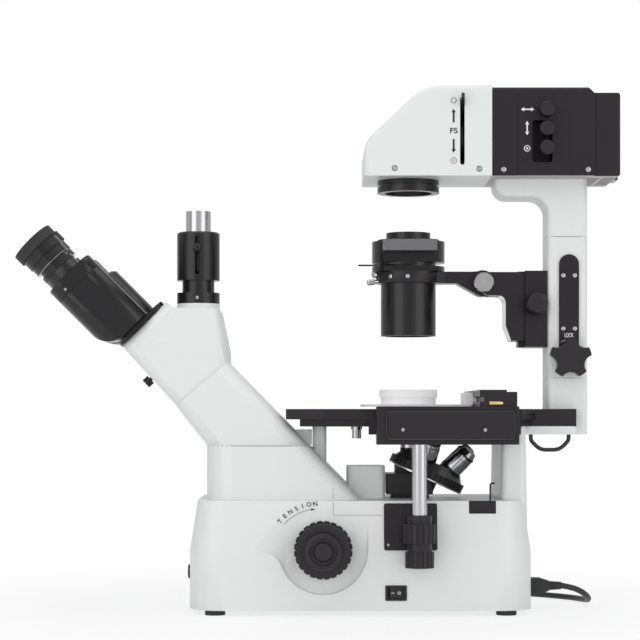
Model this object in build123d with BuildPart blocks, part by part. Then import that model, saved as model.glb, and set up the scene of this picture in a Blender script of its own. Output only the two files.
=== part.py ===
"""Inverted trinocular microscope, modelled in millimetres.

+X is the rear of the instrument, +Y its left side, +Z up. The origin is the middle of the footprint.
"""
import os
from math import cos, radians, sin, sqrt, tan

from build123d import *

os.makedirs("parts", exist_ok=True)

# clearances and walls
run_gap = 0.3
fit_gap = 0.05
wall = 5.0

# base casting
foot_h = 5.0
foot_d = 20.0
foot_in_x = 26.0
foot_in_y = 14.0
base_x0 = -129.0
base_x1 = 209.0
base_hw = 88.0
base_corner = 34.0
waist_z = 62.0
base_top = 112.0
base_taper = 9.0
column_x0 = 178.0
column_x1 = 206.0
column_in = 26.0
column_taper = 1.0
tower_x0 = -113.0
tower_in = 26.0
tower_round = 26.0
seam_z = 166.0
slope_x = -92.3
slope_z = 248.5
slope_run = 0.98
scoop_r = 44.0
scoop_lead = 18.0
scoop_depth = 8.0
scoop_sweep = 300.0
cover_x0 = 27.0
cover_x1 = 65.5
cover_hw = 24.0
cover_top = 144.5

# focus drive
focus_x = 3.2
focus_z = 64.6
shaft_r = 5.0
core_r = 2.0
pinion_r = 7.0
tension_r = 28.5
tension_t = 7.5
coarse_r = 26.3
coarse_t = 15.0
fine_r = 18.0
fine_t = 11.5
dome_r = 9.5
boss_r = 21.0

# nosepiece
axis_x = 90.0
carrier_x0 = 67.0
carrier_x1 = 114.0
carrier_hw = 26.0
carrier_low = 116.0
carrier_top = 137.0
slide_x0 = 72.0
slide_x1 = 110.0
slide_hw = 20.0
slide_foot = 44.0
turret_tilt = 25.0
turret_x = 108.5
turret_z = 136.5
turret_r = 40.0
turret_t = 9.0
dome_h = 9.0
grip_count = 45
objective_count = 5
objective_r = 10.0
objective_len = 38.0
neck_r = 14.0
under_gap = 1.5
lift_up = 2.0
lift_down = 2.0

# stage
stage_x0 = -34.0
stage_x1 = 216.0
stage_hw = 80.0
stage_top = 202.0
stage_lip = 10.3
stage_low = 184.7
stage_cut_x = 36.0
stage_cut_y = 22.0
stage_inset = 14.0
insert_r = 55.0
insert_t = 3.0
insert_hole = 14.0
well_r = 53.0
post_x = -0.5
post_r = 7.0
yoke_x1 = 257.0
yoke_hw = 34.0

# mechanical stage
rail_x0 = 47.5
rail_x1 = 196.0
rail_y = 7.0
rail_z0 = 177.0
rail_z1 = 198.0
block_x0 = 54.7
block_x1 = 192.0
block_out = 8.5
block_z0 = 167.6
block_z1 = 204.4
lid_t = 2.0
lid_in = 7.0
bar_x0 = 154.0
bar_x1 = 190.0
bar_y1 = 92.0
bar_top = 220.5
bar_step = 10.0
groove_z = 211.5
groove_h = 5.0
groove_d = 4.0
tray_x0 = 42.0
tray_hw = 43.0
tray_t = 2.0
tray_z = 204.6
tray_hole = 26.0
slider_hw = 30.0
slider_t = 8.0
dish_r = 29.5
dish_h = 15.0
dish_wall = 1.2
drive_x = 96.2
drive_out = 17.5
drive_r = 7.3
drive_z = 99.5
knob_a_r = 16.0
knob_a_h = 19.0
knob_b_r = 14.0
knob_b_h = 15.4
collar_r = 12.0
collar_h = 8.0
spindle_r = 4.0
thumb_x = 36.5
thumb_y = 48.0
thumb_r = 4.6
thumb_h = 9.0

# pillar
pillar_x0 = 229.0
pillar_x1 = 270.0
pillar_hw = 22.0
pillar_z0 = 176.5
pillar_z1 = 233.0
pillar_z2 = 375.6
arm_x0 = 176.0
arm_z = 415.0
lamp_z0 = 434.0
arm_round = 16.0
arm_tip = 14.0
pillar_edge = 5.0
seam_w = 0.8
seam_d = 0.6
plate_x0 = 241.0
plate_x1 = 261.0
plate_z0 = 245.0
plate_z1 = 358.0
plate_t = 2.0
lock_z = 253.5
lock_r = 20.5
lock_t = 14.0
lock_lobes = 5

# condenser
block_c_x0 = 201.0
block_c_z0 = 264.6
block_c_z1 = 341.6
rail_c_t = 6.0
rail_c_hw = 9.0
bracket_x0 = 160.4
bracket_low = 271.0
bracket_arm_z = 317.0
bracket_top = 340.4
bracket_wall = 13.5
bracket_crook = 8.0
bracket_hw = 20.0
clamp_x = 165.0
clamp_z = 329.6
clamp_r = 10.1
clamp_t = 8.0
cond_knob_x = 217.0
cond_knob_z = 307.7
cond_knob_r = 11.0
cond_knob_l = 23.0
barrel_r = 28.0
barrel_z0 = 276.0
ring_z0 = 329.5
ring_z1 = 341.3
ring_wall = 5.0
house_wall = 9.0
house_z1 = 371.0
slider_z0 = 360.4
slider_z1 = 371.6
slider_w = 54.0
slider_l = 92.0
slider_open = 12.0
slider_hole = 9.0
slider_pitch = 30.0
cap_r = 22.5
cap_z1 = 381.0
iris_z = 348.4
iris_out = 14.0

# lamp house
lamp_x0 = 43.7
cover_l = 127.3
black_l = 102.0
cap_l = 26.5
lamp_hw = 52.0
lamp_h = 90.0
nose_h = 33.0
nose_l = 60.3
lamp_edge = 5.0
lamp_wall = 4.0
lamp_top_r = 45.0
lamp_nose_r = 26.0
iris_back = 25.0
iris_wall_t = 4.0
iris_ring_r = 30.0
iris_bore_r = 22.0
iris_lead = 6.0
field_arm = 66.0
field_arm_t = 3.0
field_arm_h = 6.0
field_angle = 28.0
black_hw = 51.5
black_drop = 2.0
black_cut = 6.0
cap_hw = 47.0
cap_drop = 7.0
panel_in = 26.0
panel_l = 51.0
panel_drop = 13.0
panel_out = 0.8
window_w = 20.0
knob_pin = 2.5
knob_seat = 5.0
vent_l = 13.0
vent_w = 2.4
vent_gap = 6.0
latch_h = 8.0
latch_hw = 14.0
vent_t = 4.5
slot_back = 29.5
slot_w = 4.6
slot_up = 10.7
slot_drop = 11.5
field_r = 31.5
field_z0 = 421.5
lens_r = 24.0
lamp_knob_r = 7.2
lamp_knob_l = 14.0
lamp_knob_in = 53.5
lamp_knob_up = 26.5
lamp_knob_pitch = 19.0
window_in_x = 40.0
window_up = 13.0
window_h = 42.0
window_d = 20.0

# head and eyepieces
arm_in = 10.0
head_in = 6.0
arm_toe_x = 51.0
arm_toe_z = 43.5
arm_heel_x = 48.0
arm_heel_z = 48.0
head_top = 303.0
port_x = -124.0
port_r = 21.7
port_z0 = 309.0
port_neck_r = 16.3
flange_h = 11.0
neck_h = 12.6
sleeve_h = 49.0
tube_r = 12.7
tube_out = 21.4
tube_in = 40.0
tube_dark = 30.0
tube_step = 0.2
grip_r = 4.4
grip_t = 5.0
slit_w = 4.4
slit_z0 = 338.0
slit_z1 = 377.0
screw_z = 365.0
bino_x = -178.3
bino_z = 285.0
bino_plate_t = 4.5
bino_tall = 60.0
bino_wide = 84.0
bino_corner = 12.0
clamp_in_x = 27.0
clamp_in_z = 29.5
bino_hub_r = 20.0
bino_hub_h = 60.0
wing_r = 36.0
half_ipd = 31.0
wing_tall = 54.0
wing_wide = 46.0
wing_round = 15.0
wing_len = 68.5
wing_heel = 24.0
wing_up = 4.0
wing_line = 0.8
collar_len = 15.0
eye_tube_r = 19.0
eye_tube_len = 10.3
eye_bore_r = 15.0
eye_bore_d = 22.0
eye_len = 39.7
eyecup_r = 23.3
eyecup_len = 10.7

# side cover and filter slide
panel_w = 52.0
panel_h = 46.0
panel_t = 2.0
filter_x = 159.0
filter_w = 26.0
filter_h = 12.5
filter_t = 6.5
pull_h = 17.0
pull_r = 0.9
pull_bend = 4.5
fork_hw = 12.0

# electrics
switch_x = 74.2
switch_z = 22.5
switch_w = 21.0
switch_h = 15.0
switch_lip = 1.2
switch_d = 11.0
rocker_w = 13.6
rocker_h = 10.0
rocker_in = 4.0
rocker_out = 4.6
rocker_tilt = 7.0
rocker_pin = 1.0
inlet_z = 22.0
inlet_w = 24.0
inlet_h = 15.5
inlet_d = 8.0
plug_x1 = 224.0
grip_x1 = 233.0
relief_x1 = 246.0
dimmer_pin = 3.0
dimmer_t = 3.0
cord_r = 3.0
coil_x = 110.0
coil_y = 150.0
coil_r = 46.0
coil_in = 21.0
plug_in_x = 72.0
plug_in_y = 22.0
coil_h = 13.0
mains_w = 24.0
mains_h = 17.0
mains_l = 40.0
blade_pitch = 12.7
blade_t = 1.5
blade_w = 6.3
blade_l = 17.0
loop_x0 = 212.0
loop_x1 = 250.0
loop_y = 28.0
loop_h = 15.5
loop_r = 2.0
dimmer_y = 30.0
dimmer_z = 39.0
dimmer_r = 7.0

# values that follow from the sizes above
ring_r = barrel_r + ring_wall
house_r = barrel_r + house_wall
field_h = lamp_z0 - field_z0
lamp_x1 = lamp_x0 + cover_l
lamp_x2 = lamp_x1 + black_l
lamp_x3 = lamp_x2 + cap_l
lamp_top = lamp_z0 + lamp_h
lamp_nose_z = lamp_z0 + nose_h
lamp_break_x = lamp_x0 + nose_l
black_top = lamp_top - black_drop
cap_top = lamp_top - cap_drop
iris_wall_x = lamp_x1 - iris_back
panel_x0 = lamp_x1 + panel_in
panel_x1 = panel_x0 + panel_l
panel_top = lamp_top - panel_drop
slot_x = lamp_x1 - slot_back
slot_z0 = lamp_z0 + slot_up
slot_z1 = lamp_top - slot_drop
field_z = (slot_z0 + slot_z1) / 2
lamp_knob_x = lamp_x1 + lamp_knob_in
lamp_knob_z = [lamp_z0 + lamp_knob_up + i * lamp_knob_pitch for i in (2, 1, 0)]
window_x0 = lamp_x1 + window_in_x
window_z0 = lamp_z0 + window_up
window_z1 = window_z0 + window_h
window_in = -black_hw + window_d + knob_seat + lamp_wall
base_mid = (base_x0 + base_x1) / 2
column_hw = base_hw - column_in
tower_hw = base_hw - tower_in
arm_hw = tower_hw - arm_in
head_hw = arm_hw - head_in
drive_y = base_hw + drive_out
block_y0 = drive_y + block_out
filter_y0 = -(base_hw - (base_top - waist_z) * tan(radians(base_taper)))
filter_y1 = filter_y0 + filter_t
filter_mid = (filter_y0 + filter_y1) / 2
pull_x = filter_x + filter_w / 2 - wall
slope_top_x = slope_x + (slope_z - seam_z) * slope_run
slope_foot_x = slope_x + (slope_z - base_top) * slope_run
knob_y0 = base_hw + run_gap
coarse_y0 = knob_y0 + tension_t + run_gap
fine_y0 = coarse_y0 + coarse_t + run_gap
cavity_hw = base_hw - scoop_depth - 2 * wall
slide_hole = run_gap
bino = Plane(origin=(bino_x, 0, bino_z), x_dir=(1, 0, 1), z_dir=(-1, 0, 1))
eye_u = -sqrt(wing_r**2 - half_ipd**2)
tilt = radians(turret_tilt)
turret = Plane(origin=(turret_x, 0, turret_z), x_dir=(cos(tilt), 0, -sin(tilt)), z_dir=(sin(tilt), 0, cos(tilt)))
seat_r = (turret_x - axis_x) / cos(tilt)
neck_z = turret_z - (turret_t / 2 + 1) / cos(tilt)
pillar_mid = (pillar_x0 + pillar_x1) / 2
plate_mid = (plate_x0 + plate_x1) / 2

# tool for the scoop beside each focus knob, a round dip that runs out forwards
lead_x = focus_x - sqrt((scoop_r + scoop_lead) ** 2 - (waist_z - scoop_lead - focus_z) ** 2)
share = scoop_r / (scoop_r + scoop_lead)
meet_x = focus_x + share * (lead_x - focus_x)
meet_z = focus_z + share * (waist_z - scoop_lead - focus_z)
dip_y = base_hw - scoop_depth + scoop_sweep
with BuildPart() as scoop:
    with BuildSketch(Plane.XZ.offset(base_hw - 2 * scoop_depth)):
        with BuildLine():
            l1 = Line((base_x0 * 0.7, waist_z), (lead_x, waist_z))
            l2 = TangentArc(l1 @ 1, (meet_x, meet_z), tangent=l1 % 1)
            l3 = ThreePointArc(l2 @ 1, (focus_x, focus_z - scoop_r), (focus_x + scoop_r, focus_z))
            l4 = Polyline(l3 @ 1, (focus_x + scoop_r, base_top), (base_x0 * 0.7, base_top), l1 @ 0)
        make_face()
    extrude(amount=3 * scoop_depth)
    with BuildSketch(Plane.XY):
        with Locations((focus_x, -dip_y)):
            Circle(scoop_sweep)
    extrude(amount=2 * base_top, mode=Mode.INTERSECT)

# base casting: plinth, drawn-in shoulder, rear column, sloping tower and the light path cover
with BuildPart() as base_housing:
    with BuildSketch(Plane.XY.offset(foot_h)):
        with Locations((base_mid, 0)):
            RectangleRounded(base_x1 - base_x0, 2 * base_hw, base_corner)
    extrude(amount=waist_z - foot_h)
    with BuildSketch(Plane.XY.offset(waist_z)):
        with Locations((base_mid, 0)):
            RectangleRounded(base_x1 - base_x0, 2 * base_hw, base_corner)
    extrude(amount=base_top - waist_z, taper=base_taper)
    add(scoop.part, mode=Mode.SUBTRACT)
    add(scoop.part.mirror(Plane.XZ), mode=Mode.SUBTRACT)
    # rear column and the yoke that holds the pillar's foot
    with BuildSketch(Plane.XY.offset(waist_z)):
        with Locations(((column_x0 + column_x1) / 2, 0)):
            RectangleRounded(column_x1 - column_x0, 2 * column_hw, 8)
    extrude(amount=stage_low - waist_z, taper=column_taper)
    with BuildSketch(Plane.XY.offset(pillar_z0)):
        with Locations(((column_x0 + wall + yoke_x1) / 2, 0)):
            RectangleRounded(yoke_x1 - column_x0 - wall, 2 * yoke_hw, 3)
        with Locations(((pillar_x0 + pillar_x1) / 2 + wall, 0)):
            Rectangle(pillar_x1 - pillar_x0 + 2 * wall, 2 * pillar_hw, mode=Mode.SUBTRACT)
    extrude(amount=stage_low - pillar_z0)
    # tower under the inclined arm
    with BuildSketch(Plane.XZ):
        with BuildLine():
            Polyline(
                (tower_x0, base_top - wall),
                (slope_foot_x, base_top - wall),
                (slope_foot_x, base_top),
                (slope_top_x, seam_z),
                (tower_x0, seam_z),
                close=True,
            )
        make_face()
    extrude(amount=tower_hw, both=True)
    front = base_housing.edges().filter_by(Axis.Z).filter_by_position(Axis.X, tower_x0 - 0.1, tower_x0 + 0.1)
    fillet(front, tower_round)
    slant = [e for e in base_housing.edges() if abs(e.tangent_at(0.5).X / slope_run + e.tangent_at(0.5).Z) < 1e-3]
    slant = [e for e in slant if abs(abs(e.center().Y) - tower_hw) < 0.1 and e.length > seam_z - base_top]
    fillet(slant, tower_round / 2)
    # narrow cover over the light path, behind the tower
    with BuildSketch(Plane.XY.offset(base_top - wall)):
        with Locations(((cover_x0 + cover_x1) / 2, 0)):
            RectangleRounded(cover_x1 - cover_x0, 2 * cover_hw, 6)
    extrude(amount=cover_top - base_top + wall)
    # post under the stage's front
    with BuildSketch(Plane.XY.offset(base_top)):
        with Locations((post_x, 0)):
            RectangleRounded(2 * post_r, 2 * cover_hw, 4)
    extrude(amount=stage_low - base_top)
    # inside: one open cavity, and the well that the nosepiece slide runs in
    with BuildSketch(Plane.XY.offset(foot_h + wall)):
        with Locations((base_mid, 0)):
            RectangleRounded(base_x1 - base_x0 - 4 * wall, 2 * cavity_hw, base_corner - 2 * wall)
    extrude(amount=base_top - foot_h - 3 * wall, mode=Mode.SUBTRACT)
    with BuildSketch(Plane.XY.offset(base_top - 3 * wall)):
        with Locations(((slide_x0 + slide_x1) / 2, 0)):
            Rectangle(slide_x1 - slide_x0 + 2 * slide_hole, 2 * (slide_hw + slide_hole))
    extrude(amount=6 * wall, mode=Mode.SUBTRACT)
    # bosses and bores of the focus shaft
    with BuildSketch(Plane.XZ.offset(base_hw)):
        with Locations((focus_x, focus_z)):
            Circle(boss_r)
    extrude(amount=-(base_hw - cavity_hw + wall))
    with BuildSketch(Plane.XZ.offset(-base_hw)):
        with Locations((focus_x, focus_z)):
            Circle(boss_r)
    extrude(amount=base_hw - cavity_hw + wall)
    with BuildSketch(Plane.XZ):
        with Locations((focus_x, focus_z)):
            Circle(shaft_r + fit_gap)
    extrude(amount=2 * base_hw, both=True, mode=Mode.SUBTRACT)
    # pockets of the filter slide, the switch, the mains inlet and the dimmer's spindle
    with BuildSketch(Plane.XY.offset(base_top)):
        with Locations((filter_x, filter_y1 + run_gap)):
            Rectangle(filter_w + 2 * run_gap, 4 * filter_t, align=(Align.CENTER, Align.MAX))
    extrude(amount=-filter_h, mode=Mode.SUBTRACT)
    with BuildSketch(Plane.XZ.offset(base_hw)):
        with Locations((switch_x, switch_z)):
            Rectangle(switch_w - 2 * switch_lip, switch_h - 2 * switch_lip)
    extrude(amount=-switch_d, mode=Mode.SUBTRACT)
    with BuildSketch(Plane.YZ.offset(base_x1)):
        with Locations((0, inlet_z)):
            Rectangle(inlet_w + 2 * run_gap, inlet_h + 2 * run_gap)
    extrude(amount=-inlet_d, mode=Mode.SUBTRACT)
    with BuildSketch(Plane.YZ.offset(base_x0)):
        with Locations((-dimmer_y, dimmer_z)):
            Circle(dimmer_pin + fit_gap)
    extrude(amount=2 * wall, mode=Mode.SUBTRACT)
base_housing.part.label = "base_housing"
export_step(base_housing.part, "parts/base_housing.step")

with BuildPart() as rubber_feet:
    with BuildSketch(Plane.XY):
        with Locations((base_mid, 0)):
            with GridLocations(base_x1 - base_x0 - 2 * foot_in_x, 2 * (base_hw - foot_in_y), 2, 2):
                Circle(foot_d / 2)
    extrude(amount=foot_h)
rubber_feet.part.label = "rubber_feet"
export_step(rubber_feet.part, "parts/rubber_feet.step")

# inclined arm between the tower and the head
with BuildPart() as arm_housing:
    with BuildSketch(Plane.XZ) as arm_outline:
        with BuildLine():
            Polyline(
                (tower_x0, seam_z),
                (slope_top_x, seam_z),
                (slope_x, slope_z),
                (slope_x - arm_toe_x, slope_z - arm_toe_z),
                (slope_x - arm_heel_x, slope_z - arm_heel_z),
                close=True,
            )
        make_face()
    extrude(amount=arm_hw, both=True)
    sides = [e for e in arm_housing.edges() if abs(abs(e.center().Y) - arm_hw) < 0.1]
    sides = [e for e in sides if e.center().Z > seam_z + 1 and abs(e.tangent_at(0.5).Z) > 0.68 and e.length > 30]
    sides = [e for e in sides if e.tangent_at(0.5).X * e.tangent_at(0.5).Z < 0]
    fillet(sides, tower_round / 2)
    with BuildSketch(Plane.XY.offset(seam_z)):
        with Locations((slope_top_x - post_r - 2, 0)):
            RectangleRounded(2 * post_r + 10, 2 * cover_hw, 3)
    extrude(amount=3 * wall)
    with BuildSketch(Plane.XZ):
        add(arm_outline.sketch)
        offset(amount=-2 * wall, mode=Mode.REPLACE)
    extrude(amount=arm_hw - 2 * wall, both=True, mode=Mode.SUBTRACT)
arm_housing.part.label = "arm_housing"
export_step(arm_housing.part, "parts/arm_housing.step")

# trinocular head
with BuildPart() as head_housing:
    with BuildSketch(Plane.XZ) as head_outline:
        with BuildLine():
            Polyline(
                (slope_x - arm_toe_x, slope_z - arm_toe_z),
                (slope_x, slope_z),
                (slope_x - 0.5, slope_z + 14),
                (slope_x - 8.5, slope_z + 52),
                (port_x + port_r, head_top),
                (port_x - port_r, head_top),
                (bino_x + 24, bino_z + 24),
                (bino_x - 20, bino_z - 20),
                close=True,
            )
        make_face()
        rounded = head_outline.vertices().sort_by(Axis.X)[0]
        fillet(rounded, 7)
    extrude(amount=head_hw, both=True)
    rims = [e for e in head_housing.edges() if abs(abs(e.center().Y) - head_hw) < 0.1 and e.length > 30]
    rims = [e for e in rims if e.tangent_at(0.5).X * e.tangent_at(0.5).Z < 0]
    fillet(rims, 10)
    with BuildSketch(Plane.XY.offset(head_top - wall)):
        with Locations((port_x, 0)):
            Circle(port_r)
    extrude(amount=port_z0 - head_top + wall)
    with BuildSketch(Plane.XZ):
        add(head_outline.sketch)
        offset(amount=-2 * wall, mode=Mode.REPLACE)
    extrude(amount=head_hw - 2 * wall, both=True, mode=Mode.SUBTRACT)
    with BuildSketch(Plane.XY.offset(head_top - 4 * wall)):
        with Locations((port_x, 0)):
            Circle(tube_r - 3)
    extrude(amount=6 * wall, mode=Mode.SUBTRACT)
head_housing.part.label = "head_housing"
export_step(head_housing.part, "parts/head_housing.step")

with BuildPart() as head_clamp_screw:
    clamp_at = Plane(
        origin=(slope_x - arm_toe_x - clamp_in_x, 0, slope_z - arm_toe_z + clamp_in_z),
        x_dir=(0, 1, 0),
        z_dir=(-43.5, 0, -41.2),
    )
    with BuildSketch(clamp_at.offset(run_gap)):
        Circle(2)
    extrude(amount=3)
    with BuildSketch(clamp_at.offset(run_gap + 3)):
        Circle(5)
        with PolarLocations(5, 12):
            Circle(0.7, mode=Mode.SUBTRACT)
    extrude(amount=6.5)
head_clamp_screw.part.label = "head_clamp_screw"
export_step(head_clamp_screw.part, "parts/head_clamp_screw.step")

# photo port: flange, neck and slotted sleeve, with the bright tube sliding in it
sleeve_z0 = port_z0 + flange_h + neck_h
sleeve_z1 = sleeve_z0 + sleeve_h
with BuildPart() as photo_port:
    with BuildSketch(Plane.XY.offset(port_z0)):
        with Locations((port_x, 0)):
            Circle(port_r)
    extrude(amount=flange_h)
    with BuildSketch(Plane.XY.offset(port_z0 + flange_h)):
        with Locations((port_x, 0)):
            Circle(port_neck_r)
    extrude(amount=neck_h)
    with BuildSketch(Plane.XY.offset(sleeve_z0)):
        with Locations((port_x, 0)):
            Circle(port_r)
    extrude(amount=sleeve_h)
    chamfer(photo_port.edges().filter_by(GeomType.CIRCLE).group_by(Axis.Z)[-1], 1.5)
    with BuildSketch(Plane.XY.offset(port_z0)):
        with Locations((port_x, 0)):
            Circle(tube_r - 3)
    extrude(amount=flange_h + neck_h, mode=Mode.SUBTRACT)
    with BuildSketch(Plane.XY.offset(port_z0 + flange_h + 2)):
        with Locations((port_x, 0)):
            Circle(tube_r + fit_gap)
    extrude(amount=neck_h + sleeve_h, mode=Mode.SUBTRACT)
    with BuildSketch(Plane.XZ):
        with Locations((port_x, (slit_z0 + slit_z1) / 2)):
            SlotOverall(slit_z1 - slit_z0, slit_w, rotation=90)
    extrude(amount=port_r + wall, mode=Mode.SUBTRACT)
photo_port.part.label = "photo_port"
export_step(photo_port.part, "parts/photo_port.step")

with BuildPart() as photo_tube:
    with BuildSketch(Plane.XY.offset(sleeve_z1 - tube_in)):
        with Locations((port_x, 0)):
            Circle(tube_r - tube_step)
            Circle(tube_r - 1.2, mode=Mode.SUBTRACT)
    extrude(amount=tube_dark)
    with BuildSketch(Plane.XY.offset(sleeve_z1 - tube_in + tube_dark)):
        with Locations((port_x, 0)):
            Circle(tube_r)
            Circle(tube_r - 1.2, mode=Mode.SUBTRACT)
    extrude(amount=tube_in - tube_dark + tube_out)
    with BuildSketch(Plane.XZ.offset(tube_r - 0.8)):
        with Locations((port_x, screw_z)):
            Circle(slit_w / 2 - run_gap)
    extrude(amount=port_r - tube_r + run_gap + 0.8)
    with BuildSketch(Plane.XZ.offset(port_r + run_gap)):
        with Locations((port_x, screw_z)):
            Circle(grip_r)
    extrude(amount=grip_t)
    fillet(photo_tube.edges().filter_by(GeomType.CIRCLE).sort_by(Axis.Y)[0], grip_t * 0.6)
photo_tube.part.label = "photo_tube"
export_step(photo_tube.part, "parts/photo_tube.step")

# binocular: mounting plate with its hub, and two wings that turn about the hub
with BuildPart() as bino_plate:
    with BuildSketch(bino):
        with Locations((wall / 5, 0)):
            RectangleRounded(bino_tall, bino_wide, bino_corner)
    extrude(amount=bino_plate_t)
    with BuildSketch(bino):
        Circle(bino_hub_r)
    extrude(amount=bino_plate_t + bino_hub_h)
    chamfer(bino_plate.edges().filter_by(GeomType.CIRCLE).sort_by(Axis.Z)[-1], 3)
bino_plate.part.label = "bino_plate"
export_step(bino_plate.part, "parts/bino_plate.step")

wing_n0 = bino_plate_t + run_gap
collar_n0 = wing_n0 + wing_len
tube_n0 = collar_n0 + collar_len
eye_n0 = tube_n0 + eye_tube_len
heel_u = eye_u + wing_up - wing_tall / 2
side_view = Plane(origin=bino.origin, x_dir=bino.x_dir, z_dir=(0, -1, 0))
with BuildPart() as heel:
    with BuildSketch(side_view):
        with Locations((heel_u, wing_n0)):
            Rectangle(wing_heel, wing_heel, align=(Align.MIN, Align.MIN))
        with Locations((heel_u + wing_heel, wing_n0 + wing_heel)):
            Circle(wing_heel, mode=Mode.SUBTRACT)
    extrude(amount=half_ipd + wing_wide, both=True)
with BuildPart() as wing_right:
    with BuildSketch(bino.offset(wing_n0)):
        with Locations((eye_u + wing_up, -half_ipd)):
            RectangleRounded(wing_tall, wing_wide, wing_round)
    extrude(amount=wing_len - wing_line)
    with BuildSketch(bino.offset(collar_n0 - wing_line)):
        with Locations((eye_u + wing_up, -half_ipd)):
            RectangleRounded(wing_tall - 2 * wing_line, wing_wide - 2 * wing_line, wing_round - wing_line)
    extrude(amount=wing_line)
    with BuildSketch(bino.offset(collar_n0)):
        with Locations((eye_u + wing_up, -half_ipd)):
            RectangleRounded(wing_tall, wing_wide, wing_round)
    extrude(amount=collar_len)
    chamfer(wing_right.faces().sort_by(Axis((0, 0, 0), bino.z_dir))[-1].edges(), wing_line)
    with BuildSketch(bino.offset(tube_n0)):
        with Locations((eye_u, -half_ipd)):
            Circle(eye_tube_r)
    extrude(amount=eye_tube_len)
    with BuildSketch(bino.offset(eye_n0)):
        with Locations((eye_u, -half_ipd)):
            Circle(eye_bore_r + fit_gap)
    extrude(amount=-eye_bore_d, mode=Mode.SUBTRACT)
    with BuildSketch(bino.offset(wing_n0)):
        Circle(bino_hub_r + run_gap)
    extrude(amount=wing_len, mode=Mode.SUBTRACT)
    add(heel.part, mode=Mode.SUBTRACT)
wing_right.part.label = "wing_right"
export_step(wing_right.part, "parts/wing_right.step")

with BuildPart() as wing_left:
    add(wing_right.part.mirror(Plane.XZ))
wing_left.part.label = "wing_left"
export_step(wing_left.part, "parts/wing_left.step")

with BuildPart() as eyepiece_right:
    with BuildSketch(bino.offset(eye_n0 - eye_bore_d)):
        with Locations((eye_u, -half_ipd)):
            Circle(eye_bore_r)
    extrude(amount=eye_bore_d)
    with BuildSketch(bino.offset(eye_n0)):
        with Locations((eye_u, -half_ipd)):
            Circle(eye_tube_r + 0.4)
    extrude(amount=4.7)
    with BuildSketch(bino.offset(eye_n0 + 4.7)):
        with Locations((eye_u, -half_ipd)):
            Circle(17)
    extrude(amount=4.8)
    with BuildSketch(bino.offset(eye_n0 + 9.5)):
        with Locations((eye_u, -half_ipd)):
            Circle(20.3)
    extrude(amount=9.5)
    with BuildSketch(bino.offset(eye_n0 + 19)):
        with Locations((eye_u, -half_ipd)):
            Circle(21.3)
    extrude(amount=eye_len - eyecup_len - 19)
    with BuildSketch(bino.offset(eye_n0 + eye_len - eyecup_len)):
        with Locations((eye_u, -half_ipd)):
            Circle(14)
    extrude(amount=-6, mode=Mode.SUBTRACT)
eyepiece_right.part.label = "eyepiece_right"
export_step(eyepiece_right.part, "parts/eyepiece_right.step")

with BuildPart() as eyepiece_left:
    add(eyepiece_right.part.mirror(Plane.XZ))
eyepiece_left.part.label = "eyepiece_left"
export_step(eyepiece_left.part, "parts/eyepiece_left.step")

cup_z = (bino.offset(eye_n0 + eye_len - eyecup_len / 2).origin + bino.x_dir * eye_u).Z
with BuildPart() as eyecup_right:
    with BuildSketch(bino.offset(eye_n0 + eye_len - eyecup_len)):
        with Locations((eye_u, -half_ipd)):
            Circle(eyecup_r)
            Circle(14, mode=Mode.SUBTRACT)
    extrude(amount=eyecup_len)
    cup_rim = eyecup_right.edges().filter_by(GeomType.CIRCLE).sort_by(SortBy.RADIUS)
    chamfer([e for e in cup_rim if e.radius < eye_bore_r and e.arc_center.Z > cup_z], eyecup_len * 0.37)
eyecup_right.part.label = "eyecup_right"
export_step(eyecup_right.part, "parts/eyecup_right.step")

with BuildPart() as eyecup_left:
    add(eyecup_right.part.mirror(Plane.XZ))
eyecup_left.part.label = "eyecup_left"
export_step(eyecup_left.part, "parts/eyecup_left.step")

with BuildPart() as dioptre_ring:
    with BuildSketch(bino.offset(tube_n0 + run_gap)):
        with Locations((eye_u, half_ipd)):
            Circle(eye_tube_r + 3.5)
            with PolarLocations(eye_tube_r + 3.5, 20):
                Circle(0.9, mode=Mode.SUBTRACT)
            Circle(eye_tube_r + fit_gap, mode=Mode.SUBTRACT)
    extrude(amount=eye_tube_len - 2 * run_gap)
dioptre_ring.part.label = "dioptre_ring"
export_step(dioptre_ring.part, "parts/dioptre_ring.step")

# coaxial focus drive: one coarse shaft with a knob at each end, the fine shaft through it
with BuildPart() as coarse_knobs:
    with BuildSketch(Plane.XZ):
        with Locations((focus_x, focus_z)):
            Circle(shaft_r)
    extrude(amount=coarse_y0 + 1, both=True)
    with BuildSketch(Plane.XZ):
        with Locations((focus_x, focus_z)):
            Circle(pinion_r)
    extrude(amount=2 * wall, both=True)
    with BuildSketch(Plane.XZ.offset(coarse_y0)) as coarse_face:
        with Locations((focus_x, focus_z)):
            Circle(coarse_r)
            with PolarLocations(coarse_r, 36):
                Circle(0.8, mode=Mode.SUBTRACT)
    extrude(amount=coarse_t)
    with BuildSketch(Plane.XZ.offset(-knob_y0)):
        with Locations((focus_x, focus_z)):
            Circle(coarse_r)
            with PolarLocations(coarse_r, 36):
                Circle(0.8, mode=Mode.SUBTRACT)
    extrude(amount=-(coarse_y0 + coarse_t - knob_y0))
    with BuildSketch(Plane.XZ):
        with Locations((focus_x, focus_z)):
            Circle(core_r + fit_gap)
    extrude(amount=fine_y0 + fine_t, both=True, mode=Mode.SUBTRACT)
coarse_knobs.part.label = "coarse_knobs"
export_step(coarse_knobs.part, "parts/coarse_knobs.step")

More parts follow.
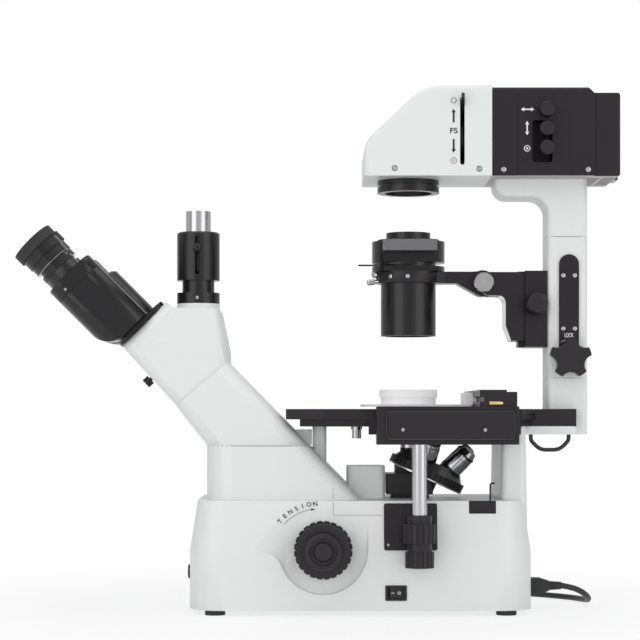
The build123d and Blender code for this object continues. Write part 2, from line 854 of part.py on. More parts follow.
with BuildPart() as fine_knobs:
    with BuildSketch(Plane.XZ):
        with Locations((focus_x, focus_z)):
            Circle(core_r)
    extrude(amount=fine_y0 + 1, both=True)
    with BuildSketch(Plane.XZ.offset(fine_y0)):
        with Locations((focus_x, focus_z)):
            Circle(fine_r)
    extrude(amount=fine_t)
    with BuildSketch(Plane.XZ.offset(-fine_y0)):
        with Locations((focus_x, focus_z)):
            Circle(fine_r)
    extrude(amount=-fine_t)
    rims = [e for e in fine_knobs.edges().filter_by(GeomType.CIRCLE) if e.radius > fine_r - 0.1]
    fillet([e for e in rims if abs(e.center().Y) > fine_y0 + 1], 2.5)
    with BuildSketch(Plane.XZ.offset(fine_y0 + fine_t)):
        with Locations((focus_x, focus_z)):
            Circle(fine_r - 4.5)
            Circle(dome_r, mode=Mode.SUBTRACT)
    extrude(amount=-4, mode=Mode.SUBTRACT)
    with BuildSketch(Plane.XZ.offset(-fine_y0 - fine_t)):
        with Locations((focus_x, focus_z)):
            Circle(fine_r - 4.5)
            Circle(dome_r, mode=Mode.SUBTRACT)
    extrude(amount=4, mode=Mode.SUBTRACT)
    domes = [e for e in fine_knobs.edges().filter_by(GeomType.CIRCLE) if abs(e.radius - dome_r) < 0.1]
    fillet([e for e in domes if abs(e.center().Y) > fine_y0 + fine_t - 1], 3)
fine_knobs.part.label = "fine_knobs"
export_step(fine_knobs.part, "parts/fine_knobs.step")

with BuildPart() as tension_ring:
    with BuildSketch(Plane.XZ.offset(knob_y0)):
        with Locations((focus_x, focus_z)):
            Circle(tension_r)
            with PolarLocations(tension_r, 24):
                Circle(1.3, mode=Mode.SUBTRACT)
            Circle(shaft_r + run_gap, mode=Mode.SUBTRACT)
    extrude(amount=tension_t)
tension_ring.part.label = "tension_ring"
export_step(tension_ring.part, "parts/tension_ring.step")

# nosepiece: slide in the base with a rack arm, a seat block on top and a tilted bearing stub
with BuildPart() as nosepiece_carrier:
    with BuildSketch(Plane.XY.offset(slide_foot)):
        with Locations(((slide_x0 + slide_x1) / 2, 0)):
            Rectangle(slide_x1 - slide_x0, 2 * slide_hw)
    extrude(amount=carrier_low - slide_foot)
    with BuildSketch(Plane.XY.offset(carrier_low)):
        with Locations(((carrier_x0 + carrier_x1) / 2, 0)):
            RectangleRounded(carrier_x1 - carrier_x0, 2 * carrier_hw, 3)
    extrude(amount=carrier_top - carrier_low)
    with BuildSketch(turret.offset(-turret_t / 2 - under_gap)):
        Rectangle(4 * turret_r, 4 * turret_r)
    extrude(amount=turret_r, mode=Mode.SUBTRACT)
    with BuildSketch(turret.offset(-turret_t / 2 - run_gap)):
        Circle(neck_r)
    extrude(amount=-2 * wall)
    with BuildSketch(Plane.XZ):
        with BuildLine():
            Polyline(
                (axis_x - neck_r, carrier_low + wall),
                (axis_x + neck_r, carrier_low + wall),
                (axis_x + neck_r, neck_z - (axis_x + neck_r - turret_x) * tan(tilt)),
                (axis_x - neck_r, neck_z - (axis_x - neck_r - turret_x) * tan(tilt)),
                close=True,
            )
        make_face()
    extrude(amount=neck_r, both=True)
    with BuildSketch(Plane.XZ):
        with Locations(((focus_x + pinion_r + slide_x0) / 2 + 1, focus_z - 2 * pinion_r)):
            Rectangle(slide_x0 - focus_x - pinion_r, pinion_r)
        with Locations((focus_x + pinion_r + 1 + wall / 2, focus_z - pinion_r / 2)):
            Rectangle(wall, 3 * pinion_r)
    extrude(amount=wall, both=True)
nosepiece_carrier.part.label = "nosepiece_carrier"
export_step(nosepiece_carrier.part, "parts/nosepiece_carrier.step")

# turret: toothed grip ring and a domed face that carries the objectives
with BuildPart() as nosepiece_turret:
    with BuildSketch(turret.offset(-turret_t / 2)):
        Circle(turret_r)
        with PolarLocations(turret_r, grip_count):
            Circle(1.3, mode=Mode.SUBTRACT)
    extrude(amount=turret_t)
    with BuildSketch(turret.offset(-turret_t / 2 + 0.8)):
        Circle(turret_r - 3)
    extrude(amount=turret_t - 0.8)
    with BuildSketch(turret.offset(turret_t / 2)):
        Circle(turret_r - 3)
    extrude(amount=dome_h, taper=32)
    for i in range(objective_count):
        turn = radians(180 + i * 360 / objective_count)
        out = turret.x_dir * cos(turn) + turret.y_dir * sin(turn)
        lean = turret.z_dir * cos(tilt) + out * sin(tilt)
        seat = Plane(turret.origin + turret.z_dir * (turret_t / 2) + out * seat_r, z_dir=lean)
        with BuildSketch(seat.offset(-turret_t / 3)):
            Circle(objective_r)
        extrude(amount=dome_h + turret_t / 3)
        with BuildSketch(seat.offset(dome_h)):
            Circle(objective_r + 2)
        extrude(amount=4 * dome_h, mode=Mode.SUBTRACT)
nosepiece_turret.part.label = "nosepiece_turret"
export_step(nosepiece_turret.part, "parts/nosepiece_turret.step")

# objectives stand square to their seats, leaning out from the turret's axis
with BuildPart() as objectives:
    for i in range(objective_count):
        turn = radians(180 + i * 360 / objective_count)
        out = turret.x_dir * cos(turn) + turret.y_dir * sin(turn)
        lean = turret.z_dir * cos(tilt) + out * sin(tilt)
        seat = Plane(turret.origin + turret.z_dir * (turret_t / 2) + out * seat_r, z_dir=lean)
        seat = seat.offset(dome_h)
        reach = objective_len - (objective_count - i) % objective_count * 3
        with BuildSketch(seat):
            Circle(objective_r)
        extrude(amount=reach * 0.55)
        with BuildSketch(seat.offset(reach * 0.55)):
            Circle(objective_r - 0.5)
        extrude(amount=reach * 0.25)
        with BuildSketch(seat.offset(reach * 0.8)):
            Circle(objective_r - 1)
        extrude(amount=reach * 0.2, taper=20)
objectives.part.label = "objectives"
export_step(objectives.part, "parts/objectives.step")

# stage: cut-cornered plate with a smaller underlayer and a fork round the pillar
with BuildPart() as stage_plate:
    with BuildSketch(Plane.XY.offset(stage_top - stage_lip)):
        with BuildLine():
            Polyline(
                (stage_x0, -stage_hw + stage_cut_y),
                (stage_x0 + stage_cut_x, -stage_hw),
                (stage_x1 - stage_cut_x / 2, -stage_hw),
                (stage_x1, -yoke_hw),
                (yoke_x1, -yoke_hw),
                (yoke_x1, yoke_hw),
                (stage_x1, yoke_hw),
                (stage_x1 - stage_cut_x / 2, stage_hw),
                (stage_x0 + stage_cut_x, stage_hw),
                (stage_x0, stage_hw - stage_cut_y),
                close=True,
            )
        make_face()
    extrude(amount=stage_lip)
    fillet(stage_plate.edges().filter_by(Axis.Z).filter_by_position(Axis.X, stage_x0 - 1, stage_x0 + 1), 8)
    with BuildSketch(Plane.XY.offset(stage_low)):
        with BuildLine():
            Polyline(
                (stage_x0 + stage_inset, -stage_hw + stage_cut_y),
                (stage_x0 + stage_cut_x + 2, -stage_hw + 3),
                (stage_x1 - stage_cut_x / 2 - 4, -stage_hw + 3),
                (stage_x1 - 4, -yoke_hw),
                (yoke_x1, -yoke_hw),
                (yoke_x1, yoke_hw),
                (stage_x1 - 4, yoke_hw),
                (stage_x1 - stage_cut_x / 2 - 4, stage_hw - 3),
                (stage_x0 + stage_cut_x + 2, stage_hw - 3),
                (stage_x0 + stage_inset, stage_hw - stage_cut_y),
                close=True,
            )
        make_face()
    extrude(amount=stage_top - stage_lip - stage_low)
    with BuildSketch(Plane.XY.offset(stage_low)):
        with Locations((axis_x, 0)):
            Circle(well_r)
        with Locations((pillar_x0 + pillar_x1 / 2, 0)):
            Rectangle(pillar_x1, 2 * pillar_hw)
    extrude(amount=stage_top - stage_low, mode=Mode.SUBTRACT)
    with BuildSketch(Plane.XY.offset(stage_top - insert_t)):
        with Locations((axis_x, 0)):
            Circle(insert_r + fit_gap)
    extrude(amount=insert_t, mode=Mode.SUBTRACT)
stage_plate.part.label = "stage_plate"
export_step(stage_plate.part, "parts/stage_plate.step")

with BuildPart() as stage_insert:
    with BuildSketch(Plane.XY.offset(stage_top - insert_t)):
        with Locations((axis_x, 0)):
            Circle(insert_r)
            Circle(insert_hole, mode=Mode.SUBTRACT)
    extrude(amount=insert_t)
stage_insert.part.label = "stage_insert"
export_step(stage_insert.part, "parts/stage_insert.step")

with BuildPart() as stage_rail:
    with BuildSketch(Plane.XZ.offset(stage_hw)):
        with Locations(((rail_x0 + rail_x1) / 2, (rail_z0 + rail_z1) / 2)):
            Rectangle(rail_x1 - rail_x0, rail_z1 - rail_z0)
    extrude(amount=rail_y)
stage_rail.part.label = "stage_rail"
export_step(stage_rail.part, "parts/stage_rail.step")

# carriage: grooved block on the rail with a rounded lid, and the cross bar over the stage
with BuildPart() as stage_carriage:
    with BuildSketch(Plane.XZ.offset(stage_hw + 1)):
        with Locations(((block_x0 + block_x1) / 2, (block_z0 + block_z1) / 2)):
            Rectangle(block_x1 - block_x0, block_z1 - block_z0)
    extrude(amount=block_y0 - stage_hw - 1)
    chamfer(stage_carriage.edges().filter_by(Axis.Z), 1.5)
    with BuildSketch(Plane.XZ.offset(stage_hw)):
        with Locations(((block_x0 + block_x1) / 2, (rail_z0 + rail_z1) / 2)):
            Rectangle(block_x1 - block_x0 + 2, rail_z1 - rail_z0 + 2 * run_gap)
    extrude(amount=rail_y + run_gap, mode=Mode.SUBTRACT)
    with BuildSketch(Plane.XZ.offset(block_y0)):
        with Locations(((block_x0 + block_x1) / 2 + lid_in / 2, (block_z0 + block_z1) / 2)):
            RectangleRounded(block_x1 - block_x0 - 2 * lid_in, block_z1 - block_z0 - lid_in, 5)
    extrude(amount=lid_t)
    with BuildSketch(Plane.XZ.offset(block_y0 - lid_t)):
        with Locations(((bar_x0 + bar_x1) / 2, (block_z1 + bar_top - 2) / 2)):
            Rectangle(bar_x1 - bar_x0, bar_top - 2 - block_z1)
        with Locations(((bar_x0 + bar_x1 - bar_step) / 2, (block_z1 + bar_top) / 2)):
            Rectangle(bar_x1 - bar_x0 - bar_step, bar_top - block_z1)
        with Locations((bar_x0 + groove_d / 2, groove_z)):
            Rectangle(groove_d, groove_h, mode=Mode.SUBTRACT)
    extrude(amount=-(block_y0 - lid_t + bar_y1))
stage_carriage.part.label = "stage_carriage"
export_step(stage_carriage.part, "parts/stage_carriage.step")

with BuildPart() as drive_post:
    with BuildSketch(Plane.XY.offset(drive_z)):
        with Locations((drive_x, -drive_y)):
            Circle(drive_r)
            Circle(spindle_r + fit_gap, mode=Mode.SUBTRACT)
    extrude(amount=block_z0 - drive_z)
drive_post.part.label = "drive_post"
export_step(drive_post.part, "parts/drive_post.step")

knob_a_z = drive_z - run_gap - collar_h
with BuildPart() as stage_x_knob:
    with BuildSketch(Plane.XY.offset(knob_a_z)):
        with Locations((drive_x, -drive_y)):
            Circle(collar_r)
            Circle(spindle_r + fit_gap, mode=Mode.SUBTRACT)
    extrude(amount=collar_h)
    with BuildSketch(Plane.XY.offset(knob_a_z - knob_a_h)):
        with Locations((drive_x, -drive_y)):
            Circle(knob_a_r)
            with PolarLocations(knob_a_r, 18):
                Circle(1.1, mode=Mode.SUBTRACT)
            Circle(spindle_r + fit_gap, mode=Mode.SUBTRACT)
    extrude(amount=knob_a_h)
stage_x_knob.part.label = "stage_x_knob"
export_step(stage_x_knob.part, "parts/stage_x_knob.step")

knob_b_z = knob_a_z - knob_a_h - run_gap - collar_h
with BuildPart() as stage_y_knob:
    with BuildSketch(Plane.XY.offset(knob_b_z)):
        with Locations((drive_x, -drive_y)):
            Circle(collar_r)
    extrude(amount=collar_h)
    with BuildSketch(Plane.XY.offset(knob_b_z - knob_b_h)):
        with Locations((drive_x, -drive_y)):
            Circle(knob_b_r)
            with PolarLocations(knob_b_r, 18):
                Circle(1.0, mode=Mode.SUBTRACT)
    extrude(amount=knob_b_h)
    with BuildSketch(Plane.XY.offset(knob_b_z + collar_h)):
        with Locations((drive_x, -drive_y)):
            Circle(spindle_r)
    extrude(amount=block_z0 - knob_b_z - collar_h - run_gap)
stage_y_knob.part.label = "stage_y_knob"
export_step(stage_y_knob.part, "parts/stage_y_knob.step")

# specimen holder: slider in the bar's groove and a thin tray that carries the dish
with BuildPart() as specimen_holder:
    with BuildSketch(Plane.XY.offset(tray_z)):
        with Locations(((tray_x0 + bar_x0 - run_gap) / 2, 0)):
            RectangleRounded(bar_x0 - run_gap - tray_x0, 2 * tray_hw, 4)
        with Locations((axis_x, 0)):
            Circle(tray_hole, mode=Mode.SUBTRACT)
    extrude(amount=tray_t)
    with BuildSketch(Plane.XZ):
        with Locations((bar_x0 - run_gap - slider_t / 2, (tray_z + bar_top - 2) / 2)):
            Rectangle(slider_t, bar_top - 2 - tray_z)
        with Locations((bar_x0 + groove_d / 2 - run_gap - 0.5, groove_z)):
            Rectangle(groove_d + 1 - run_gap, groove_h - 2 * run_gap)
    extrude(amount=slider_hw, both=True)
specimen_holder.part.label = "specimen_holder"
export_step(specimen_holder.part, "parts/specimen_holder.step")

with BuildPart() as specimen_dish:
    with BuildSketch(Plane.XY.offset(tray_z + tray_t)):
        with Locations((axis_x, 0)):
            Circle(dish_r - 1.5)
    extrude(amount=dish_h)
    with BuildSketch(Plane.XY.offset(tray_z + tray_t + dish_h - 8)):
        with Locations((axis_x, 0)):
            Circle(dish_r)
    extrude(amount=8)
    with BuildSketch(Plane.XY.offset(tray_z + tray_t + dish_wall)):
        with Locations((axis_x, 0)):
            Circle(dish_r - 1.5 - dish_wall)
    extrude(amount=dish_h - 2 * dish_wall, mode=Mode.SUBTRACT)
specimen_dish.part.label = "specimen_dish"
export_step(specimen_dish.part, "parts/specimen_dish.step")

with BuildPart() as stage_screw:
    with BuildSketch(Plane.XY.offset(stage_low)):
        with Locations((thumb_x, -thumb_y)):
            Circle(thumb_r + 1)
    extrude(amount=-3)
    with BuildSketch(Plane.XY.offset(stage_low - 3)):
        with Locations((thumb_x, -thumb_y)):
            Circle(thumb_r)
            with PolarLocations(thumb_r, 14):
                Circle(0.4, mode=Mode.SUBTRACT)
    extrude(amount=-thumb_h)
stage_screw.part.label = "stage_screw"
export_step(stage_screw.part, "parts/stage_screw.step")

# black cover on the base's side over the nosepiece slide, lying on the drawn-in shoulder
shoulder = Plane(
    origin=(0, -base_hw, waist_z), x_dir=(1, 0, 0), z_dir=(0, -cos(radians(base_taper)), sin(radians(base_taper)))
)
with BuildPart() as focus_cover:
    with BuildSketch(shoulder):
        with Locations(((slide_x0 + slide_x1) / 2 - 2.5, panel_h / 2 + 2)):
            RectangleRounded(panel_w, panel_h, 2)
    extrude(amount=panel_t)
focus_cover.part.label = "focus_cover"
export_step(focus_cover.part, "parts/focus_cover.step")

# filter slide in a pocket of the shoulder's top edge, with a bent wire pull
with BuildPart() as filter_slide:
    with BuildSketch(Plane.XY.offset(base_top - filter_h)):
        with Locations((filter_x, (filter_y0 + filter_y1) / 2)):
            Rectangle(filter_w, filter_y1 - filter_y0)
    extrude(amount=filter_h)
    with BuildLine() as pull:
        FilletPolyline(
            (pull_x, filter_mid, base_top),
            (pull_x, filter_mid, base_top + pull_h),
            (pull_x + pull_bend, filter_mid, base_top + pull_h),
            radius=2 * pull_r,
        )
    with BuildSketch(Plane.XY.offset(base_top)):
        with Locations((pull_x, filter_mid)):
            Circle(pull_r)
    sweep(path=pull.wires()[0])
filter_slide.part.label = "filter_slide"
export_step(filter_slide.part, "parts/filter_slide.step")

# pillar in three lengths with seams between them; the top one turns forward under the lamp house
with BuildPart() as pillar:
    with BuildSketch(Plane.XZ) as arm_side:
        with BuildLine():
            Polyline(
                (pillar_x0, pillar_z0),
                (pillar_x1, pillar_z0),
                (pillar_x1, lamp_z0),
                (arm_x0, lamp_z0),
                (arm_x0, arm_z),
                (pillar_x0, arm_z),
                close=True,
            )
        make_face()
        fillet(arm_side.vertices().sort_by_distance((pillar_x0, arm_z))[0], arm_round)
        fillet(arm_side.vertices().sort_by_distance((arm_x0, arm_z))[0], arm_tip)
    extrude(amount=pillar_hw, both=True)
    flanks = [e for e in pillar.edges() if abs(abs(e.center().Y) - pillar_hw) < 0.1]
    fillet([e for e in flanks if e.center().Z < lamp_z0 - 1 and e.center().Z > pillar_z0 + 1], pillar_edge)
    with BuildSketch(Plane.XY.offset(pillar_z1), Plane.XY.offset(pillar_z2)):
        with Locations((pillar_mid, 0)):
            Rectangle(pillar_x1 - pillar_x0 + wall, 2 * pillar_hw + wall)
            RectangleRounded(
                pillar_x1 - pillar_x0 - 2 * seam_d, 2 * (pillar_hw - seam_d), pillar_edge - seam_d, mode=Mode.SUBTRACT
            )
    extrude(amount=seam_w, mode=Mode.SUBTRACT)
pillar.part.label = "pillar"
export_step(pillar.part, "parts/pillar.step")

with BuildPart() as lock_plate:
    with BuildSketch(Plane.XZ.offset(pillar_hw)):
        with Locations((plate_mid, (plate_z0 + plate_z1) / 2)):
            SlotOverall(plate_z1 - plate_z0, plate_x1 - plate_x0, rotation=90)
    extrude(amount=plate_t)
lock_plate.part.label = "lock_plate"
export_step(lock_plate.part, "parts/lock_plate.step")

# star knob: five rounded lobes with hollows between them, on a short hub
with BuildPart() as lock_knob:
    with BuildSketch(Plane.XZ.offset(pillar_hw + plate_t + run_gap)):
        with Locations((plate_mid, lock_z)):
            Circle(7)
    extrude(amount=5)
    with BuildSketch(Plane.XZ.offset(pillar_hw + plate_t + run_gap + 5)):
        with Locations((plate_mid, lock_z)):
            Circle(lock_r)
            with PolarLocations(lock_r + 4, lock_lobes, start_angle=54):
                Circle(10, mode=Mode.SUBTRACT)
    extrude(amount=lock_t)
    fillet(lock_knob.faces().sort_by(Axis.Y)[0].edges(), 1.5)
lock_knob.part.label = "lock_knob"
export_step(lock_knob.part, "parts/lock_knob.step")

# condenser carrier: block on the pillar with an upright rail, and the angle bracket that runs on it
with BuildPart() as condenser_block:
    with BuildSketch(Plane.XY.offset(block_c_z0)):
        with Locations(((block_c_x0 + rail_c_t + pillar_x0) / 2, 0)):
            Rectangle(pillar_x0 - block_c_x0 - rail_c_t, 2 * pillar_hw)
        with Locations((block_c_x0 + rail_c_t / 2, 0)):
            Rectangle(rail_c_t, 2 * rail_c_hw)
    extrude(amount=block_c_z1 - block_c_z0)
    with BuildSketch(Plane.XZ.offset(pillar_hw)):
        with Locations((cond_knob_x, cond_knob_z)):
            Circle(spindle_r + fit_gap)
    extrude(amount=-pillar_hw, mode=Mode.SUBTRACT)
condenser_block.part.label = "condenser_block"
export_step(condenser_block.part, "parts/condenser_block.step")

bracket_x1 = block_c_x0 + rail_c_t - run_gap
with BuildPart() as condenser_bracket:
    with BuildSketch(Plane.XZ) as bracket_side:
        with BuildLine():
            Polyline(
                (bracket_x0, bracket_top),
                (bracket_x1, bracket_top),
                (bracket_x1, bracket_low),
                (block_c_x0 - wall - 3, bracket_low),
                (block_c_x0 - bracket_wall, bracket_low + 3 * wall),
                (block_c_x0 - bracket_wall, bracket_arm_z),
                (bracket_x0, bracket_arm_z),
                close=True,
            )
        make_face()
        crook = bracket_side.vertices().sort_by_distance((block_c_x0 - bracket_wall, bracket_arm_z))[0]
        fillet(crook, bracket_crook)
        fillet(bracket_side.vertices().group_by(Axis.X)[0], (bracket_top - bracket_arm_z) / 2 - 0.5)
    extrude(amount=bracket_hw, both=True)
    with BuildSketch(Plane.XY.offset(bracket_low)):
        with Locations(((block_c_x0 + bracket_x1) / 2, 0)):
            Rectangle(bracket_x1 - block_c_x0 + 2 * run_gap, 2 * (rail_c_hw + run_gap))
    extrude(amount=bracket_top - bracket_low, mode=Mode.SUBTRACT)
    with BuildSketch(Plane.XZ):
        with Locations((clamp_x, clamp_z)):
            Circle(clamp_r + 4)
    extrude(amount=fork_hw + run_gap, both=True, mode=Mode.SUBTRACT)
    with BuildSketch(Plane.XZ):
        with Locations((clamp_x - clamp_r, (ring_z0 + ring_z1) / 2)):
            Rectangle(2 * clamp_r, ring_z1 - ring_z0 + 8)
    extrude(amount=fork_hw + run_gap, both=True, mode=Mode.SUBTRACT)
    with BuildSketch(Plane.XZ):
        with Locations((clamp_x, clamp_z)):
            Circle(spindle_r + fit_gap)
    extrude(amount=2 * bracket_hw, both=True, mode=Mode.SUBTRACT)
condenser_bracket.part.label = "condenser_bracket"
export_step(condenser_bracket.part, "parts/condenser_bracket.step")

with BuildPart() as clamp_screw:
    with BuildSketch(Plane.XZ.offset(bracket_hw + run_gap)):
        with Locations((clamp_x, clamp_z)):
            Circle(clamp_r)
    extrude(amount=clamp_t)
    chamfer(clamp_screw.edges().filter_by(GeomType.CIRCLE), 0.8)
    with BuildSketch(Plane.XZ.offset(bracket_hw + run_gap)):
        with Locations((clamp_x, clamp_z)):
            Circle(spindle_r)
    extrude(amount=-2 * bracket_hw - run_gap)
clamp_screw.part.label = "clamp_screw"
export_step(clamp_screw.part, "parts/clamp_screw.step")

with BuildPart() as condenser_knob:
    with BuildSketch(Plane.XZ.offset(pillar_hw + run_gap)):
        with Locations((cond_knob_x, cond_knob_z)):
            Circle(cond_knob_r)
    extrude(amount=cond_knob_l)
    fillet(condenser_knob.faces().sort_by(Axis.Y)[0].edges(), 5)
    with BuildSketch(Plane.XZ.offset(pillar_hw + run_gap)):
        with Locations((cond_knob_x, cond_knob_z)):
            Circle(spindle_r)
    extrude(amount=-pillar_hw)
condenser_knob.part.label = "condenser_knob"
export_step(condenser_knob.part, "parts/condenser_knob.step")

# condenser arm: split ring round the barrel and a waisted arm back to the bracket's fork
with BuildPart() as condenser_arm:
    with BuildSketch(Plane.XY.offset(ring_z0)):
        with Locations((axis_x, 0)):
            Circle(ring_r)
        with BuildLine():
            Polyline(
                (axis_x, -ring_r),
                (axis_x + ring_r + 4, -fork_hw),
                (clamp_x - clamp_r - 3, -fork_hw),
                (clamp_x - clamp_r - 3, fork_hw),
                (axis_x + ring_r + 4, fork_hw),
                (axis_x, ring_r),
                close=True,
            )
        make_face()
        with Locations((axis_x, 0)):
            Circle(barrel_r + fit_gap, mode=Mode.SUBTRACT)
    extrude(amount=ring_z1 - ring_z0)
    with BuildSketch(Plane.XZ):
        with BuildLine():
            Polyline(
                (clamp_x - clamp_r - 16, ring_z0),
                (clamp_x - clamp_r - 16, ring_z1 - 1),
                (clamp_x - 5, clamp_z + clamp_r + 2),
                (clamp_x - 5, clamp_z - clamp_r - 2),
                close=True,
            )
        make_face()
        with Locations((clamp_x, clamp_z)):
            Circle(clamp_r + 3)
            Circle(spindle_r + fit_gap, mode=Mode.SUBTRACT)
    extrude(amount=fork_hw, both=True)
condenser_arm.part.label = "condenser_arm"
export_step(condenser_arm.part, "parts/condenser_arm.step")

# condenser: barrel, iris housing open in front, top cap
with BuildPart() as condenser:
    with BuildSketch(Plane.XY.offset(barrel_z0)):
        with Locations((axis_x, 0)):
            Circle(barrel_r)
    extrude(amount=ring_z1 - barrel_z0)
    with BuildSketch(Plane.XY.offset(ring_z1)):
        with Locations((axis_x, 0)):
            Circle(house_r)
    extrude(amount=slider_z0 - run_gap - ring_z1)
    with BuildSketch(Plane.XY.offset(ring_z1)):
        with Locations((axis_x, -house_r)):
            Rectangle(2 * barrel_r, 2 * (house_r - barrel_r) + 2)
    extrude(amount=slider_z0 - ring_z1, mode=Mode.SUBTRACT)
    with BuildSketch(Plane.XY.offset(slider_z0 - run_gap)):
        with Locations((axis_x, 0)):
            Circle(house_r)
            Rectangle(slider_w + 2 * run_gap, 2 * house_r, mode=Mode.SUBTRACT)
    extrude(amount=slider_z1 - slider_z0 + 2 * run_gap)
    with BuildSketch(Plane.XY.offset(slider_z1 + run_gap)):
        with Locations((axis_x, 0)):
            Circle(cap_r + 9)
    extrude(amount=2)
    with BuildSketch(Plane.XY.offset(slider_z1 + run_gap + 2)):
        with Locations((axis_x, 0)):
            Circle(cap_r)
    extrude(amount=cap_z1 - slider_z1 - run_gap - 2)
    with BuildSketch(Plane.XY.offset(barrel_z0)):
        with Locations((axis_x, 0)):
            Circle(barrel_r - 4)
    extrude(amount=ring_z0 - barrel_z0 - wall, mode=Mode.SUBTRACT)
    with BuildSketch(Plane.XY.offset(iris_z - 2)):
        with Locations((axis_x, 0)):
            Circle(house_r + 2)
            Circle(barrel_r, mode=Mode.SUBTRACT)
    extrude(amount=4, mode=Mode.SUBTRACT)
condenser.part.label = "condenser"
export_step(condenser.part, "parts/condenser.step")

with BuildPart() as phase_slider:
    with BuildSketch(Plane.XY.offset(slider_z0)):
        with Locations((axis_x, 0)):
            Rectangle(slider_w, slider_l)
            Circle(slider_open, mode=Mode.SUBTRACT)
            with Locations((0, slider_pitch), (0, -slider_pitch)):
                Circle(slider_hole, mode=Mode.SUBTRACT)
    extrude(amount=slider_z1 - slider_z0)
phase_slider.part.label = "phase_slider"
export_step(phase_slider.part, "parts/phase_slider.step")

with BuildPart() as iris_lever:
    with BuildSketch(Plane.XY.offset(iris_z - 0.8)):
        with Locations((axis_x, 0)):
            Circle(house_r - 1)
            Circle(barrel_r + run_gap, mode=Mode.SUBTRACT)
            with Locations((house_r, 0)):
                Rectangle(2 * house_r - 5, 3 * house_r, mode=Mode.SUBTRACT)
        with Locations((axis_x - barrel_r - run_gap, 0)):
            Rectangle(house_r - barrel_r - run_gap + iris_out, 2.4, align=(Align.MAX, Align.CENTER))
    extrude(amount=1.6)
iris_lever.part.label = "iris_lever"
export_step(iris_lever.part, "parts/iris_lever.step")

# white front half of the lamp house, open at the back, with the diaphragm's bore in its inner wall
with BuildPart() as lamp_cover:
    with BuildSketch(Plane.XZ) as nose:
        with BuildLine():
            Polyline(
                (lamp_x0, lamp_z0),
                (lamp_x0, lamp_nose_z),
                (lamp_break_x, lamp_top),
                (lamp_x1, lamp_top),
                (lamp_x1, lamp_z0),
                close=True,
            )
        make_face()
        fillet(nose.vertices().sort_by_distance((lamp_break_x, lamp_top))[0], lamp_top_r)
        fillet(nose.vertices().sort_by_distance((lamp_x0, lamp_nose_z))[0], lamp_nose_r)
    extrude(amount=lamp_hw, both=True)
    sides = lamp_cover.faces().filter_by(Axis.Y)
    rims = [e for f in sides for e in f.edges() if e.center().X < lamp_x1 - 1 and e.center().Z > lamp_z0 + 1]
    fillet(rims, lamp_edge)
    with BuildSketch(Plane.XZ) as hollow:
        with BuildLine():
            Polyline(
                (lamp_x0 + lamp_wall, lamp_z0 + lamp_wall),
                (lamp_x0 + lamp_wall, lamp_nose_z - lamp_wall),
                (lamp_break_x + lamp_wall, lamp_top - 2 * lamp_wall),
                (iris_wall_x, lamp_top - 2 * lamp_wall),
                (iris_wall_x, lamp_z0 + lamp_wall),
                close=True,
            )
        make_face()
        with Locations((iris_wall_x + iris_wall_t, lamp_z0 + lamp_wall)):
            Rectangle(
                lamp_x1 - iris_wall_x - iris_wall_t,
                lamp_top - lamp_z0 - 3 * lamp_wall,
                align=(Align.MIN, Align.MIN),
            )
    extrude(amount=lamp_hw - lamp_wall, both=True, mode=Mode.SUBTRACT)
    with BuildSketch(Plane.YZ.offset(iris_wall_x)):
        with Locations((0, field_z)):
            Circle(iris_ring_r + fit_gap)
    extrude(amount=iris_wall_t, mode=Mode.SUBTRACT)
    with BuildSketch(Plane.XZ.offset(lamp_hw)):
        with Locations((slot_x, field_z)):
            SlotOverall(slot_z1 - slot_z0, slot_w, rotation=90)
    extrude(amount=-lamp_wall, mode=Mode.SUBTRACT)
    with BuildSketch(Plane.XY.offset(lamp_z0)):
        with Locations((axis_x, 0)):
            Circle(lens_r)
    extrude(amount=lamp_wall, mode=Mode.SUBTRACT)
lamp_cover.part.label = "lamp_cover"
export_step(lamp_cover.part, "parts/lamp_cover.step")

# field diaphragm ring, turning in the inner wall's bore, with its lever out through the slot
lever = Plane(
    origin=(slot_x - field_arm_t / 2, 0, field_z),
    x_dir=(0, -cos(radians(field_angle)), sin(radians(field_angle))),
    z_dir=(1, 0, 0),
)
with BuildPart() as field_lever:
    with BuildSketch(Plane.YZ.offset(slot_x - field_arm_t / 2)):
        with Locations((0, field_z)):
            Circle(iris_ring_r)
            Circle(iris_bore_r, mode=Mode.SUBTRACT)
    extrude(amount=iris_wall_x + iris_wall_t - slot_x + field_arm_t / 2)
    with BuildSketch(lever):
        with Locations(((field_arm + iris_bore_r + iris_ring_r) / 2 - iris_bore_r / 2, 0)):
            Rectangle(field_arm - iris_ring_r + iris_bore_r / 2, field_arm_h)
        with Locations((0, 0)):
            Circle(iris_bore_r, mode=Mode.SUBTRACT)
    extrude(amount=field_arm_t)
field_lever.part.label = "field_lever"
export_step(field_lever.part, "parts/field_lever.step")

# stepped ring with the field lens under the nose
with BuildPart() as field_lens:
    with BuildSketch(Plane.XZ):
        with BuildLine():
            Polyline(
                (axis_x, lamp_z0),
                (axis_x + field_r, lamp_z0),
                (axis_x + field_r, lamp_z0 - field_h / 3),
                (axis_x + field_r - 2, lamp_z0 - field_h / 3),
                (axis_x + field_r - 2, lamp_z0 - field_h / 2),
                (axis_x + field_r, lamp_z0 - field_h / 2),
                (axis_x + field_r, field_z0),
                (axis_x + lens_r, field_z0),
                (axis_x + lens_r, field_z0 + field_h / 3),
                (axis_x, field_z0 + field_h / 4),
                close=True,
            )
        make_face()
    revolve(axis=Axis((axis_x, 0, 0), (0, 0, 1)))
field_lens.part.label = "field_lens"
export_step(field_lens.part, "parts/field_lens.step")

